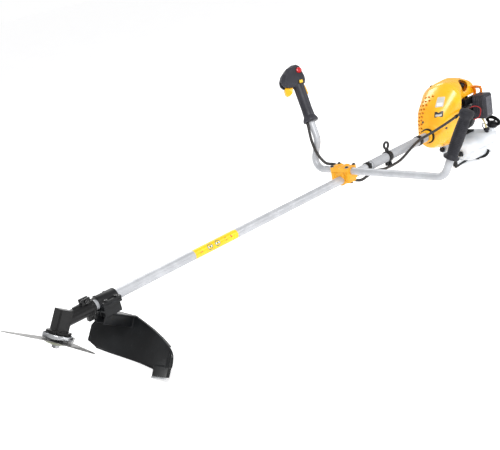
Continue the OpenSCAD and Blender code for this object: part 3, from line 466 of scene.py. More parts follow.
def sleeve_finish():
    """Soft grey sleeve with a fine diamond texture."""
    m = Nodes("sleeve_grey")
    heights = []
    for sign in (1, -1):
        wave = m.add("ShaderNodeTexWave", wave_type="BANDS", bands_direction="DIAGONAL")
        wave.inputs["Scale"].default_value = 150
        m.link(m.scaled((1, sign, sign)), wave.inputs["Vector"])
        heights.append(wave.outputs["Fac"])
    diamonds = m.math("MULTIPLY", *heights)
    colour = m.mix(m.ramp(diamonds, 0.1, 0.8), tone(158, 160, 164), tone(190, 191, 195))
    colour = m.mix(m.ramp(m.noise(30, 6), 0.55, 0.75, 0, 0.4), colour, tone(160, 161, 164))
    m.set("Base Color", colour)
    m.set("Roughness", m.ramp(m.noise(50, 5), 0.3, 0.7, 0.5, 0.68))
    m.bump([(diamonds, 0.5, 0.0005), (m.noise(1200, 2), 0.2, 0.0002)])
    return m.mat


def heat_metal():
    """Pressed steel exhaust, browned and blued where it gets hot."""
    m = Nodes("exhaust_skin")
    colour = m.mix(m.ramp(m.noise(24, 6), 0.35, 0.62), tone(96, 90, 84), tone(150, 146, 140))
    colour = m.mix(m.ramp(m.noise(36, 5), 0.5, 0.66, 0, 0.55), colour, tone(112, 82, 56))
    colour = m.mix(m.ramp(m.noise(30, 4, (1.6, 1, 1)), 0.6, 0.72, 0, 0.4), colour, tone(70, 76, 104))
    m.set("Base Color", colour)
    m.set("Metallic", 0.9)
    m.set("Roughness", m.ramp(m.noise(80, 5), 0.3, 0.7, 0.36, 0.6))
    m.bump([(m.noise(600, 3), 0.2, 0.0003), (m.noise(40, 3), 0.15, 0.001)])
    return m.mat


YELLOW = plastic("housing_yellow", tone(252, 188, 14), tone(247, 170, 6), 0.3, 1700, 0.05,
                 tone(255, 214, 92), 0.35)
YELLOW_CAST = painted("bracket_yellow", tone(246, 182, 12), tone(232, 158, 4), 0.32, tone(190, 190, 186), 0.2)
ORANGE = plastic("inner_orange", tone(240, 140, 12), tone(222, 112, 4), 0.42, 1500, 0.12)
BLACK = plastic("moulded_black", tone(20, 21, 23), tone(12, 13, 15), 0.4, 1100, 0.2, tone(60, 62, 66), 0, 0.25)
GUARD = plastic("guard_black", tone(20, 22, 24), tone(11, 12, 14), 0.36, 900, 0.25, tone(84, 87, 91), 0, 0.3)
BLACK_METAL = painted("case_black", tone(13, 13, 14), tone(6, 6, 7), 0.36, tone(100, 100, 98), 0.3, 0.08)
CHARCOAL = plastic("moulded_charcoal", tone(54, 54, 61), tone(40, 40, 46), 0.42, 1200, 0.25, tone(104, 104, 110), 0, 0.3)
CHARCOAL_LIGHT = plastic("moulded_slate", tone(92, 92, 99), tone(76, 76, 83), 0.44, 1200, 0.25, tone(140, 140, 146))
RUBBER = rubber("grip_rubber", tone(44, 44, 51), tone(30, 30, 35))
TUBE = metal("tube_satin", tone(192, 194, 198), tone(176, 178, 182), 0.42, (0.05, 1, 1), 0.25, 900, 0.03, None, 0.05)
SLEEVE = sleeve_finish()
STEEL = metal("steel_turned", tone(168, 169, 170), tone(132, 132, 133), 0.28, (1, 0.1, 0.1), 1.0, 600)
BLADE_STEEL = metal("blade_ground", tone(150, 149, 147), tone(112, 111, 109), 0.34, (0.15, 1, 1), 1.0, 420, 0.06,
                    tone(104, 98, 90), 0.25)
OLIVE = metal("washer_olive", tone(122, 126, 98), tone(86, 90, 66), 0.34, (1, 1, 1), 0.9, 380, 0.08)
SILVER = metal("flange_silver", tone(206, 208, 210), tone(164, 166, 170), 0.24, (1, 1, 0.08), 1.0, 700)
CAST = cast("cast_alloy", tone(172, 174, 176), tone(138, 140, 143))
TANK = milky("tank_milky", tone(226, 229, 233), tone(208, 213, 218))
HOSE = milky("hose_amber", tone(226, 214, 150), tone(204, 186, 112), 0.2, 0.3)
PRIMER = milky("primer_clear", tone(222, 206, 170), tone(196, 176, 130), 0.2, 0.4)
RED = plastic("switch_red", tone(214, 22, 34), tone(172, 10, 20), 0.3, 1400, 0.1, tone(240, 120, 120), 0.3)
RED_WIRE = plastic("wire_red", tone(206, 30, 36), tone(160, 16, 20), 0.4, 1400, 0.1)
CERAMIC = plastic("plug_ceramic", tone(236, 234, 226), tone(216, 212, 200), 0.2, 1500, 0.05, None, 0.5)
EXHAUST = heat_metal()
ROPE = banded("rope_twist", tone(224, 222, 214), tone(150, 146, 136), "DIAGONAL", 260, 0.9, 0.7)
CONDUIT = banded("conduit_black", tone(46, 42, 40), tone(24, 22, 21), "X", 190, 0.45, 0.42)
SCREW = metal("screw_black", tone(58, 58, 60), tone(30, 30, 32), 0.34, (1, 1, 1), 0.9, 500)
PALE = plastic("button_pale", tone(250, 206, 70), tone(240, 184, 40), 0.34, 1500, 0.1)
WHITE = plastic("label_white", tone(236, 238, 238), tone(218, 222, 224), 0.3, 1500, 0.04)
GREY_LABEL = plastic("label_grey", tone(205, 205, 200), tone(186, 186, 180), 0.3, 1500, 0.04)
TEAL = plastic("label_teal", tone(24, 132, 128), tone(12, 108, 106), 0.3, 1500, 0.04)
LABEL_YELLOW = plastic("label_yellow", tone(250, 206, 10), tone(244, 192, 4), 0.28, 1500, 0.04)
DARK = plastic("label_dark", tone(40, 42, 44), tone(26, 28, 30), 0.34, 1500, 0.06)

# ---- making objects ------------------------------------------------------------------------


def finish_mesh(mesh, angle=32):
    mesh.shade_smooth()
    mesh.set_sharp_from_angle(angle=math.radians(angle))


def link_piece(obj, material, body, stands_for):
    obj.data.materials.clear()
    obj.data.materials.append(material)
    if obj.name not in bpy.context.scene.collection.objects:
        bpy.context.scene.collection.objects.link(obj)
    if body:
        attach(obj, body)
    if stands_for:
        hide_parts(*stands_for)
    return obj


def piece(name, part, material, body="root", matrix=MACHINE, stands_for=(), angle=32,
          bevel=0.0):
    """New object from a part drawn in the given frame."""
    mesh = bpy.data.meshes.new(name)
    mesh.from_pydata([matrix @ Vector(v) for v in part[0]], [], part[1])
    bm = bmesh.new()
    bm.from_mesh(mesh)
    bmesh.ops.recalc_face_normals(bm, faces=bm.faces[:])
    bm.to_mesh(mesh)
    bm.free()
    finish_mesh(mesh, angle)
    obj = bpy.data.objects.new(name, mesh)
    link_piece(obj, material, body, stands_for)
    if bevel:
        round_edges(obj, bevel)
    return obj


def round_edges(obj, width, angle=35, segments=2):
    mod = obj.modifiers.new("round", "BEVEL")
    mod.width = width * MM
    mod.segments = segments
    mod.limit_method = "ANGLE"
    mod.angle_limit = math.radians(angle)
    mod.harden_normals = False
    return mod


def applied(obj):
    """Replaces the object's mesh with the result of its modifiers."""
    bpy.context.view_layer.update()
    shown = obj.evaluated_get(bpy.context.evaluated_depsgraph_get())
    mesh = bpy.data.meshes.new_from_object(shown)
    obj.modifiers.clear()
    old = obj.data
    obj.data = mesh
    bpy.data.meshes.remove(old)
    return obj


def cut(obj, part, matrix=MACHINE):
    """Takes a closed part away from the object."""
    tool = piece("cutting_tool", part, DARK, body=None, matrix=matrix)
    mod = obj.modifiers.new("cut", "BOOLEAN")
    mod.operation = "DIFFERENCE"
    mod.solver = "EXACT"
    mod.object = tool
    applied(obj)
    mesh = tool.data
    bpy.data.objects.remove(tool)
    bpy.data.meshes.remove(mesh)
    finish_mesh(obj.data)
    return obj


def soften(name, node, material, voxel, passes, body, extra=None, extra_frame=MACHINE, angle=50):
    """Moulded or cast version of a CAD node: its edges and inner corners get real fillets."""
    source = nodes[node].data
    verts = [v.co.copy() for v in source.vertices]
    part = verts, [tuple(p.vertices) for p in source.polygons]
    if extra:
        part = join(part, moved(extra, extra_frame))
    mesh = bpy.data.meshes.new(name)
    mesh.from_pydata(part[0], [], part[1])
    obj = bpy.data.objects.new(name, mesh)
    bpy.context.scene.collection.objects.link(obj)
    weld = obj.modifiers.new("weld", "WELD")
    weld.merge_threshold = 0.000001
    fill = obj.modifiers.new("fill", "REMESH")
    fill.mode = "VOXEL"
    fill.voxel_size = voxel * MM
    fill.use_smooth_shade = True
    relax = obj.modifiers.new("relax", "SMOOTH")
    relax.factor = 0.5
    relax.iterations = passes
    applied(obj)
    finish_mesh(obj.data, angle)
    return link_piece(obj, material, body, (node,))


def dress(node, material, bevel=0.0, angle=35):
    """A CAD node keeps its shape and gets a material and small edge radii."""
    obj = nodes[node]
    obj.data.materials.clear()
    obj.data.materials.append(material)
    for poly in obj.data.polygons:
        poly.material_index = 0
    if bevel:
        weld = obj.modifiers.new("weld", "WELD")
        weld.merge_threshold = 0.000002
        round_edges(obj, bevel, angle)


# ---- CAD nodes that keep their shape ---------------------------------------------------------

for node, material, bevel in (
    ("boom_tube", TUBE, 0), ("boom_sleeve", SLEEVE, 0.6), ("shaft_bushes", BLACK, 0),
    ("ball_bearings", STEEL, 0), ("guard_clamp", BLACK, 1.0), ("line_cutter", SILVER, 0.3),
    ("handlebar", TUBE, 0), ("cable_clips", BLACK, 0.5),
    ("harness_hanger", BLACK_METAL, 0.7), ("crankcase_front", CAST, 0.8), ("crankcase_rear", CAST, 0.8),
    ("cylinder", CAST, 0.4), ("ignition_coil", BLACK, 0.8), ("spark_plug", CERAMIC, 0.3),
    ("muffler", EXHAUST, 0), ("carburettor", CAST, 0.7),
    ("air_filter_base", BLACK, 0.8), ("starter_housing", BLACK, 0.8),
    ("engine_stand", BLACK_METAL, 0.8), ("fasteners", SCREW, 0.15), ("blade", BLADE_STEEL, 0.3),
    ("blade_adapter", SILVER, 0.4), ("cup_washer", OLIVE, 0.3), ("blade_nut", STEEL, 0.4),
    ("output_spindle", STEEL, 0.3), ("driven_gear", STEEL, 0), ("drive_shaft", STEEL, 0),
    ("pinion_gear", STEEL, 0), ("clutch_drum", STEEL, 0.3), ("crankshaft", STEEL, 0),
    ("flywheel", CAST, 0.4), ("clutch_shoe_a", CAST, 0.4), ("clutch_shoe_b", CAST, 0.4),
    ("piston", CAST, 0.3), ("connecting_rod", STEEL, 0.3), ("throttle_trigger", YELLOW, 0.8),
    ("trigger_lockout", YELLOW, 0.6), ("stop_switch", RED, 0.4), ("lock_button", PALE, 0.8),
    ("choke_lever", BLACK, 0.6), ("primer_bulb", PRIMER, 0), ("fuel_cap", BLACK, 0.6),
    ("starter_pulley", CHARCOAL_LIGHT, 0.4), ("starter_handle", BLACK, 0),
):
    dress(node, material, bevel)

# ---- engine: fan housing and top cover -------------------------------------------------------

SKIN = 2.6
FRONT_X, REAR_X = 1510, 1591
# Circles (x, y, z, radius) along X; the housing is stretched over the chains they make
HOUSING = (
    ((1510, 1, -2, 42), (1538, 8, 2, 54), (1591, 10, 4, 66)),
    ((1510, 1, -2, 42), (1524, 4, 40, 45), (1542, 6, 52, 54), (1591, 4, 76, 72)),
    ((1510, 0, -2, 41), (1591, -9, 10, 60)),
    ((1510, 0, -2, 41), (1528, -6, 38, 45), (1591, -27, 103, 60)),
)
COVER = (
    ((1594, 4, 76, 72), (1612, 34, 90, 52), (1640, 50, 106, 33), (1700, 50, 98, 30), (1716, 50, 92, 26)),
    ((1594, 4, 76, 72), (1612, 6, 102, 58), (1640, -14, 137, 34), (1680, -14, 128, 34), (1716, -12, 112, 30)),
    ((1594, -27, 103, 60), (1612, -32, 118, 47), (1640, -36, 134, 30), (1680, -38, 128, 31), (1716, -40, 114, 30)),
    ((1594, 10, 4, 66), (1612, 40, 0, 46), (1640, 50, 0, 34), (1716, 50, 0, 30)),
    ((1594, -9, 10, 60), (1612, -18, 0, 44), (1640, -28, 0, 36), (1716, -28, 0, 32)),
)


def stretched(chains, x, inset, n, swell=0.0, sharp=0.4, size=100):
    """Closed ring across X round the chains' circles at X, smoothed where they meet."""
    circles = []
    for chain in chains:
        at = min(chain[-1][0], max(chain[0][0], x))
        k = 0
        while k < len(chain) - 2 and chain[k + 1][0] < at:
            k += 1
        p, q = chain[k], chain[k + 1]
        t = (at - p[0]) / (q[0] - p[0])
        circles.append([p[i] + (q[i] - p[i]) * t for i in (1, 2, 3)])

    def support(a):
        total = sum(math.exp(sharp * (y * math.cos(a) + z * math.sin(a) + r - size)) for y, z, r in circles)
        return size + math.log(total) / sharp - inset + swell

    ring = []
    for j in range(n):
        a = 2 * math.pi * j / n
        h = support(a)
        d = (support(a + 0.02) - support(a - 0.02)) / 0.04
        ring.append((x, h * math.cos(a) - d * math.sin(a), h * math.sin(a) + d * math.cos(a)))
    return ring


def housing_ring(x, inset=0.0, n=120):
    t = min(1, max(0, (x - FRONT_X) / (REAR_X - FRONT_X)))
    return stretched(HOUSING, x, inset, n, 3.0 * math.sin(math.pi * t) ** 0.8)


def x_circle(x, r, n=120, y=0.0, z=0.0):
    return [(x, y + r * math.cos(2 * math.pi * j / n), z + r * math.sin(2 * math.pi * j / n))
            for j in range(n)]


def between(a, b, t):
    return [tuple(p[k] + (q[k] - p[k]) * t for k in range(3)) for p, q in zip(a, b)]


outer = [housing_ring(x) for x in (1511, 1514, 1518, 1523, 1528, 1534, 1541, 1549, 1557, 1565, 1573, 1580, 1585)]
face = housing_ring(1504.5, 9)
rings = [x_circle(1486, 19.6), x_circle(1486.6, 21), x_circle(1498, 21.4), x_circle(1501.5, 23.5)]
rings += [between(rings[3], face, t) for t in (0.35, 0.7)]
rings += [face, housing_ring(1505.6, 5), housing_ring(1507.6, 2)] + outer
rings += [housing_ring(1586.5, -0.2), housing_ring(1587, -1.1), housing_ring(1592.6, -1.1),
          housing_ring(1593, -0.6), housing_ring(1593, SKIN)]
rings += [housing_ring(x, SKIN + 0.4) for x in (1585, 1573, 1557, 1541, 1528, 1518)]
rings += [housing_ring(1511, SKIN + 8), x_circle(1509, 36), x_circle(1508.6, 17.7), x_circle(1502.8, 17.7),
          x_circle(1502.6, 13.2), x_circle(1486, 13.2)]
shell = piece("fan_shell", skin(rings, loop=True), YELLOW, "root", stands_for=("fan_housing",))


def placed(outline, depth, x, y, z, turn, lean=0):
    """Cutter along X with a slot-shaped section."""
    m = Matrix.Translation((x, y, z)) @ Matrix.Rotation(math.radians(turn), 4, "X") @ ALONG_X
    return moved(prism(outline, 0, depth), m @ Matrix.Rotation(math.radians(lean), 4, "Y"))


side_tree = BVHTree.FromObject(shell, bpy.context.evaluated_depsgraph_get())
slots = []
for col in range(3):
    for row in range(11):
        z = -6 + 12.6 * row + 3 * col
        y = 57 - 0.0046 * (z - 48) ** 2 - 14 * col
        hit = None
        while hit is None and y > -20:
            hit, normal, _, _ = side_tree.ray_cast(MACHINE @ Vector((1400, y, z)), X_AXIS)
            y -= 4
        if hit is None:
            continue
        normal = (MACHINE.inverted().to_3x3() @ normal).normalized()
        at = MACHINE.inverted() @ hit
        along = Vector((0, 1, 0)).cross(normal).cross(normal).normalized()
        turn = axes(along, normal.cross(along), normal, at) @ Matrix.Rotation(math.radians(-20), 4, "Z")
        slots.append(moved(prism(slot_outline(12.4, 5.6), -9, 9), turn))
cut(shell, join(*slots))
inner_rings = [housing_ring(x, SKIN + 3) for x in (1590, 1573, 1557, 1541, 1528, 1518)] + [housing_ring(1513, SKIN + 10)]
piece("fan_screen", skin(inner_rings + [housing_ring(1514.5, SKIN + 10.5)] +
      [housing_ring(x, SKIN + 4.2) for x in (1519.5, 1528, 1541, 1557, 1573, 1590)], loop=True),
      ORANGE, "root")

front = BVHTree.FromObject(shell, bpy.context.evaluated_depsgraph_get())


def on_front(y, z, lift):
    """Point on the housing's front at this Y and Z, lifted off it."""
    hit = None
    while hit is None:
        hit, normal, _, _ = front.ray_cast(MACHINE @ Vector((1400, y, z)), X_AXIS)
        if hit is None:
            y, z = y * 0.98, 40 + (z - 40) * 0.98
    if normal.dot(X_AXIS) > 0:
        normal = -normal
    return MACHINE.inverted() @ (hit + normal * lift * MM), (MACHINE.inverted().to_3x3() @ normal).normalized()


def plate(name, y, z, wide, high, lift, material, corner=3.0, turn=0.0, steps=8):
    """Thin plate laid on the curved front of the housing."""
    outline = []
    for sy, sz, a0 in ((1, 1, 0), (-1, 1, 90), (-1, -1, 180), (1, -1, 270)):
        for k in range(steps + 1):
            a = math.radians(a0 + 90 * k / steps)
            outline.append((sy * (wide / 2 - corner) + corner * math.cos(a),
                            sz * (high / 2 - corner) + corner * math.sin(a)))
    c, s = math.cos(math.radians(turn)), math.sin(math.radians(turn))
    rings = []
    for scale, up in ((1.0, -0.3), (1.0, lift * 0.7), (0.985, lift), (0.7, lift), (0.4, lift), (0.1, lift)):
        rings.append([on_front(y + (c * p - s * q) * scale, z + (s * p + c * q) * scale, up)[0]
                      for p, q in outline])
    return piece(name, skin(rings), material, "root")


crease = [tuple(on_front(y, 50 - 0.12 * (y - 20), 0.4)[0]) for y in range(56, -76, -6)]
cut(shell, moved(tube(crease, 1.5, 8, 3), Matrix.Identity(4)))
plate("plate_upper", -33, 108, 26, 30, 0.5, GREY_LABEL)
plate("plate_upper_panel", -33, 101, 19, 10, 0.75, WHITE, 1.5)
plate("plate_lower", -36, 70, 27, 19, 0.5, DARK, 2.5)
plate("plate_lower_panel", -36, 67, 20, 7, 0.75, GREY_LABEL, 1.5)


def screw_part(r, depth):
    """Recessed cross-head screw, its axis along Z."""
    head = lathe([(r * 0.35, -depth), (r * 0.96, -depth), (r, -depth + 0.4), (r, 0.6), (r * 0.86, 1.4),
                  (r * 0.45, 1.8), (0.1, 1.8)], 28)
    bars = [moved(rounded_box((-r * 0.62, -0.5, 1.5), (r * 0.62, 0.5, 2.05), 0.2, 1),
                  Matrix.Rotation(math.radians(a), 4, "Z")) for a in (20, 110)]
    return join(head, *bars)


def look_along(n, at):
    n = Vector(n).normalized()
    side = n.orthogonal().normalized()
    return axes(side, n.cross(side), n, at)


for i, (y, z) in enumerate(((22, 45), (-32, -42), (34, -34), (-56, 20))):
    at, normal = on_front(y, z, 0)
    piece(f"housing_screw_{i + 1}", screw_part(4, 3), SCREW, "root", MACHINE @ look_along(normal, at))
    collar = lathe([(4.2, -2), (6.4, -2), (6.4, 0.2), (5.6, 0.9), (4.6, 0.9), (4.2, 0.4)], 32, loop=True)
    piece(f"screw_seat_{i + 1}", collar, YELLOW, "root", MACHINE @ look_along(normal, at))

piece("socket_ring", skin([x_circle(1496, 21.5), x_circle(1496, 25.4), x_circle(1497, 26.2),
      x_circle(1502.4, 26.2), x_circle(1503.6, 25.2), x_circle(1503.6, 21.5)], loop=True),
      BLACK, "root")

def cover_ring(x, inset=0.0, grow=0.0):
    """Ring of the top cover at X, its rear end rounded over."""
    end = min(1.0, max(0.0, (x - 1706) / 10.5))
    return stretched(COVER, x, inset + 9 * (1 - math.sqrt(1 - end ** 2)) - grow, 120)


stations = (1594.5, 1597, 1601, 1606, 1612, 1620, 1630, 1642, 1656, 1670, 1682, 1690, 1696, 1702, 1707, 1711, 1714, 1715.6)
rings = [cover_ring(1594, 0, -0.6)] + [cover_ring(x) for x in stations]
last = cover_ring(1716)
centre = Vector((1716, 12, 60))
rings += [[tuple(Vector(p).lerp(centre, t)) for p in last] for t in (0.05, 0.4, 0.8, 0.97)]
inner = [[tuple(Vector(p).lerp(Vector((1713.4, 12, 60)), t)) for p in cover_ring(1713.4, SKIN)]
         for t in (0.97, 0.8, 0.4, 0.05)]
rings += inner + [cover_ring(min(x - 0.0, 1713), SKIN) for x in reversed(stations[:-2])] + [cover_ring(1594, SKIN)]
cover = piece("top_cover", skin(rings, loop=True), YELLOW, "root", stands_for=("cylinder_cover",))
PLUG = MACHINE @ Matrix.Translation((1650, -4, 90.4)) @ Matrix.Rotation(math.radians(38), 4, "X")
below = rounded_box((1560, -140, -80), (1760, 140, 50), 1)
intake_side = rounded_box((1604, -130, -80), (1730, -34, 100), 8, 4)
exhaust_side = rounded_box((1612, 62, -80), (1703, 150, 96), 8, 4)
cut(cover, below)
cut(cover, intake_side)
cut(cover, exhaust_side)
OPENING = MACHINE @ Matrix.Translation((1655, -26, 112)) @ Matrix.Rotation(math.radians(50), 4, "X")
cut(cover, lathe([(0.1, 8), (22, 8), (22, 90), (0.1, 90)], 48), OPENING)
vents = [placed([(b, a) for a, b in slot_outline(44, 4.4)], 40, 1700, 12, 62 + 10 * k, 0) for k in range(7)]
cut(cover, join(*vents))
top_vents = [moved(prism(slot_outline(30, 4), 116, 190), Matrix.Translation((1634 + 11 * k, 46, 0)) @
             Matrix.Rotation(math.radians(90), 4, "Z")) for k in range(5)]
cut(cover, join(*top_vents))

well = lathe([(21.0, 4), (22.6, 4), (22.6, 33), (21.0, 33)], 48, loop=True)
piece("plug_well", well, ORANGE, "root", OPENING)
boot = join(
    moved(lathe([(4.8, 21), (8.4, 21), (9, 22), (9, 26), (8.2, 27), (8.2, 30), (9, 31), (9, 35), (8.2, 36), (8.2, 44),
                 (7, 48), (4, 50), (0.1, 50)], 32), Matrix.Identity(4)),
    moved(lathe([(0.1, -2), (6, -2), (9.4, 0), (10.4, 3), (10.4, 9), (9, 12), (0.1, 12.4)], 32),
          Matrix.Translation((0, -4, 44)) @ Matrix.Rotation(math.radians(64), 4, "X")),
    moved(lathe([(0.1, 0), (6.6, 0), (6.6, 8), (5.4, 9), (5.4, 13), (0.1, 13)], 28),
          Matrix.Translation((-6, -2, 43)) @ Matrix.Rotation(math.radians(-80), 4, "Y")))
piece("plug_cap", boot, BLACK, "root", PLUG, stands_for=("plug_boot",), angle=45)
knob_profile = [(0.1, 8), (8.4, 8), (8.4, 22), (9.2, 23), (9.2, 27), (8.4, 28), (8.4, 33), (9.6, 34), (9.8, 39), (8.4, 42), (4, 43.6),
                (0.1, 44)]
piece("plug_knobs", join(*[moved(lathe(knob_profile, 32, wave=lambda a: 0.35 * math.cos(9 * a)), Matrix.Translation(at))
                           for at in ((-9.5, 6, -1), (9.5, 4, 0))]), BLACK, "root", OPENING, angle=45)
piece("plug_lead", tube([(1636, -30, 128), (1622, -26, 124), (1604, -16, 112), (1586, -8, 96), (1574, -6, 82)], 3.2, 12),
      BLACK, "root")
hook = [tube(path, 0, 14, 3, (wide, 6, up)) for path, wide, up in (
    ([(1684, -52, 118), (1700, -66, 122), (1710, -80, 121), (1716, -95, 117)], 24, (0.4, 0.3, 1)),
    ([(1706, -70, 120), (1708, -74, 110), (1706, -74, 98), (1700, -68, 88), (1688, -54, 80)], 16, (1, -0.8, 0)),
    ([(1712, -92, 118), (1714, -95, 110), (1713, -94, 100)], 15, (1, -0.8, 0)))]
piece("cover_hook", join(*hook), ORANGE, "root", angle=50)
cover_tree = BVHTree.FromObject(cover, bpy.context.evaluated_depsgraph_get())
for i, (x, y) in enumerate(((1612, 40), (1690, 30), (1690, -28))):
    hit, normal, _, _ = cover_tree.ray_cast(MACHINE @ Vector((x, y, 300)), -Z_AXIS)
    piece(f"cover_screw_{i + 1}", screw_part(4, 4), SCREW, "root",
          MACHINE @ look_along(MACHINE.inverted().to_3x3() @ normal, MACHINE.inverted() @ hit))

# ---- engine: tank, filter, small parts -------------------------------------------------------


def tank_ring(x, inset=0.0):
    lo, hi = 1606, 1806
    front_end = max(0.0, (lo + 34 - x) / 34)
    rear_end = max(0.0, (x - hi + 44) / 44)
    a = 24 * (1 - math.sqrt(max(0.0, 1 - front_end ** 2))) + 30 * (1 - math.sqrt(max(0.0, 1 - rear_end ** 2)))
    lean = (x - lo) / (hi - lo)
    return super_ring(x, -104 - 4 * lean + a + inset, 34 - 16 * lean - a * 0.9 - inset,
                      -126 - 6 * math.sin(lean * 3.1) + a * 0.8 + inset, -49 - 3 * lean - a * 0.5 - inset, 3.4, 96)


xs = [1606, 1606.6, 1608, 1611, 1616, 1623, 1632, 1644, 1660, 1680, 1700, 1720, 1738, 1752, 1764, 1774, 1783, 1791,
      1797, 1801.5, 1804.4, 1805.7, 1806]
tank = skin([tank_ring(x) for x in xs])
neck = moved(lathe([(0.1, -24), (15, -24), (14, -14), (14, 9), (13.2, 10), (0.1, 10)], 48),
             Matrix.Translation((1776, -84, -50)) @ Matrix.Rotation(math.radians(20), 4, "X"))
tank_obj = piece("tank_shell", tank, TANK, "root", stands_for=("fuel_tank",), angle=60)
piece("tank_neck", neck, TANK, "root")
# Moulding flange that runs round the tank
near = [(x, min(p[1] for p in tank_ring(x)) - 0.4, -90 - 4 * (x - 1606) / 200) for x in xs[3:-3]]
far = [(x, max(p[1] for p in tank_ring(x)) + 0.4, -90 - 4 * (x - 1606) / 200) for x in reversed(xs[3:-3])]
loop = near + [(1806.3, (near[-1][1] + far[0][1]) / 2, -94)] + far + [(1605.7, -35, -90), near[0]]
piece("tank_flange", tube(loop, 0, 12, 5, (2.4, 3.0, (0, 0, 1))), TANK, "root")


def strap_path(x, swell):
    ring = tank_ring(x, -swell)
    pts = [p for p in ring if p[2] < -104]
    pts.sort(key=lambda p: math.atan2(p[2] + 86, p[1] + 36))
    return pts[::4]


piece("tank_strap", tube(strap_path(1700, 1.6), 0, 14, 4, (16, 3, (1, 0, 0))), BLACK, "root")
for i, (x, y, z) in enumerate(((1600, 14, -80), (1601, -58, -94))):
    knob = join(
        lathe([(0.1, -9), (5, -9), (5, -3), (8, -2.4), (9, -1), (9, 6), (8, 7.6), (0.1, 8)], 30, wave=lambda a: 0.6 * math.cos(8 * a)),
        rounded_box((-11, -3, -2), (11, 3, 4), 1.4, 3))
    piece(f"mount_knob_{i + 1}", knob, BLACK, "root",
          MACHINE @ look_along((-1, -0.12, 0), (x, y, z)))
piece("tank_bracket", join(
    rounded_box((1592, -70, -58), (1602, 34, -40), 2.5, 3),
    rounded_box((1596, -20, -46), (1690, 20, -41), 2, 3),
    rounded_box((1690, -34, -50), (1744, 26, -43.5), 2, 3)), BLACK, "root")

# Filter box: stepped lid with upright ribs on its outer face
lo, hi = Vector((1672, -130, 14)), Vector((1726, -80.3, 98))
lid = [rounded_box(lo + Vector((0, 3, 0)), hi, 6, 4)]
for k in range(6):
    z = lo.z + 0
    x = lo.x - 0.9
    y = lo.y + 9 + 7.2 * k
    lid.append(rounded_box((x, y, z + 7), (x + 3, y + 3.2, hi.z - 7), 1.1, 2))
lid.append(rounded_box(lo + Vector((5, 0, 5)), Vector((hi.x - 5, lo.y + 8, hi.z - 5)), 3, 3))
lid.append(rounded_box((lo.x - 0.8, hi.y - 8, lo.z - 0.8), (hi.x + 0.8, hi.y - 3, hi.z + 0.8), 1.5, 2))
piece("filter_lid", join(*lid), CHARCOAL, "filter_lid", stands_for=("air_filter_cover",))
panel = [rounded_box((lo.x + 9, lo.y - 1.2, lo.z + 9), (hi.x - 9, lo.y + 2, hi.z - 9), 1, 2)]
panel += [rounded_box((lo.x + 13 + 6.6 * k, lo.y - 2.2, lo.z + 14), (lo.x + 16 + 6.6 * k, lo.y, hi.z - 14), 0.8, 2)
          for k in range(5)]
piece("filter_panel", join(*panel), CHARCOAL_LIGHT, "filter_lid")
GROMMET = Vector((1744, -84, -49))
lines = join(
    tube([GROMMET + Vector((-3, 0, 10)), (1741, -80, -16), (1738, -72, 8), (1722, -64, 26), (1694, -55, 40),
          (1674, -54, 52), (1668, -54, 60)], 2.1, 14, 2),
    tube([GROMMET + Vector((3, 0, 10)), (1748, -76, -20), (1742, -66, 2), (1720, -54, 16), (1690, -47, 26),
          (1672, -47, 36), (1666, -47, 44)], 2.1, 14, 2))
hoses = piece("hoses", lines, HOSE, "root", stands_for=("fuel_lines",))
piece("hose_grommet", lathe([(0.1, -6), (7, -6), (7, 1), (9.6, 1.6), (10.2, 3), (10.2, 8), (8.4, 10.4), (6.4, 11), (0.1, 11)], 40),
      RUBBER, "root", MACHINE @ Matrix.Translation(GROMMET))
piece("stop_wire", tube([(1628, -72, 54), (1636, -88, 63), (1652, -102, 66), (1664, -114, 56), (1664, -115, 42), (1662, -108, 24), (1658, -90, 16)], 1.5, 10, 2), RED_WIRE, "root")
piece("ground_wire", tube([(1614, -56, 66), (1620, -80, 72), (1636, -92, 74), (1658, -90, 66), (1664, -78, 50)], 1.3, 10, 2),
      BLACK, "root")
piece("throttle_swivel", join(
    moved(lathe([(0.1, 0), (5, 0), (5, 3), (2.2, 4), (2.2, 9), (0.1, 9)], 24), Matrix.Translation((1650, -54, 87))),
    rounded_box((1640, -94, 66), (1656, -86, 76), 2, 3), rounded_box((1644, -88, 68), (1652, -58, 73), 1.5, 2)),
    STEEL, "root")
bail = tube([(0, -17, 22), (0, -24, 30), (0, -18, 39), (0, 0, 43), (0, 18, 39), (0, 24, 30), (0, 17, 22)], 0, 14, 2.5,
            (13, 5, (1, 0, 0)))
CAP = MACHINE @ Matrix.Translation((1776, -84, -50)) @ Matrix.Rotation(math.radians(20), 4, "X")
grip_bar = rounded_box((-14, -3.4, 22), (14, 3.4, 31), 2.2, 3)
piece("cap_bar", join(grip_bar, lathe([(0.1, 23), (13, 23), (13, 25.2), (12, 26), (0.1, 26)], 40)),
      BLACK, "tank_cap", CAP)
piece("cap_bail", bail, BLACK, "tank_cap", CAP)
piece("cap_tether", tube([(1752, -70, -46), (1756, -62, -36), (1768, -56, -30), (1782, -58, -34), (1790, -64, -44)], 1.6, 10, 2),
      BLACK, "root")
guard_bars = [rounded_box((1624 + 9 * k, 86, 46), (1628 + 9 * k, 89, 88), 1.3, 2) for k in range(7)]
guard_bars += [rounded_box((1616, 60, z), (1690, 89, z + 4), 1.6, 2) for z in (44, 86)]
piece("muffler_guard", join(*guard_bars), BLACK, "root")
bolts = []
for y in (-20, 20):
    for z in (-32, 24):
        bolts.append(moved(screw_part(3.4, 1.5), Matrix.Translation((1698, y * 1.1, z)) @ ALONG_X))
piece("crankcase_screws", join(*bolts), SCREW, "root")
starter_screws = []
for a in (45, 135, 225, 315):
    c, s = math.cos(math.radians(a)), math.sin(math.radians(a))
    starter_screws.append(moved(screw_part(3, 2), Matrix.Translation((1743.6, 38 * c, 38 * s)) @ ALONG_X))
piece("starter_screws", join(*starter_screws), SCREW, "root")
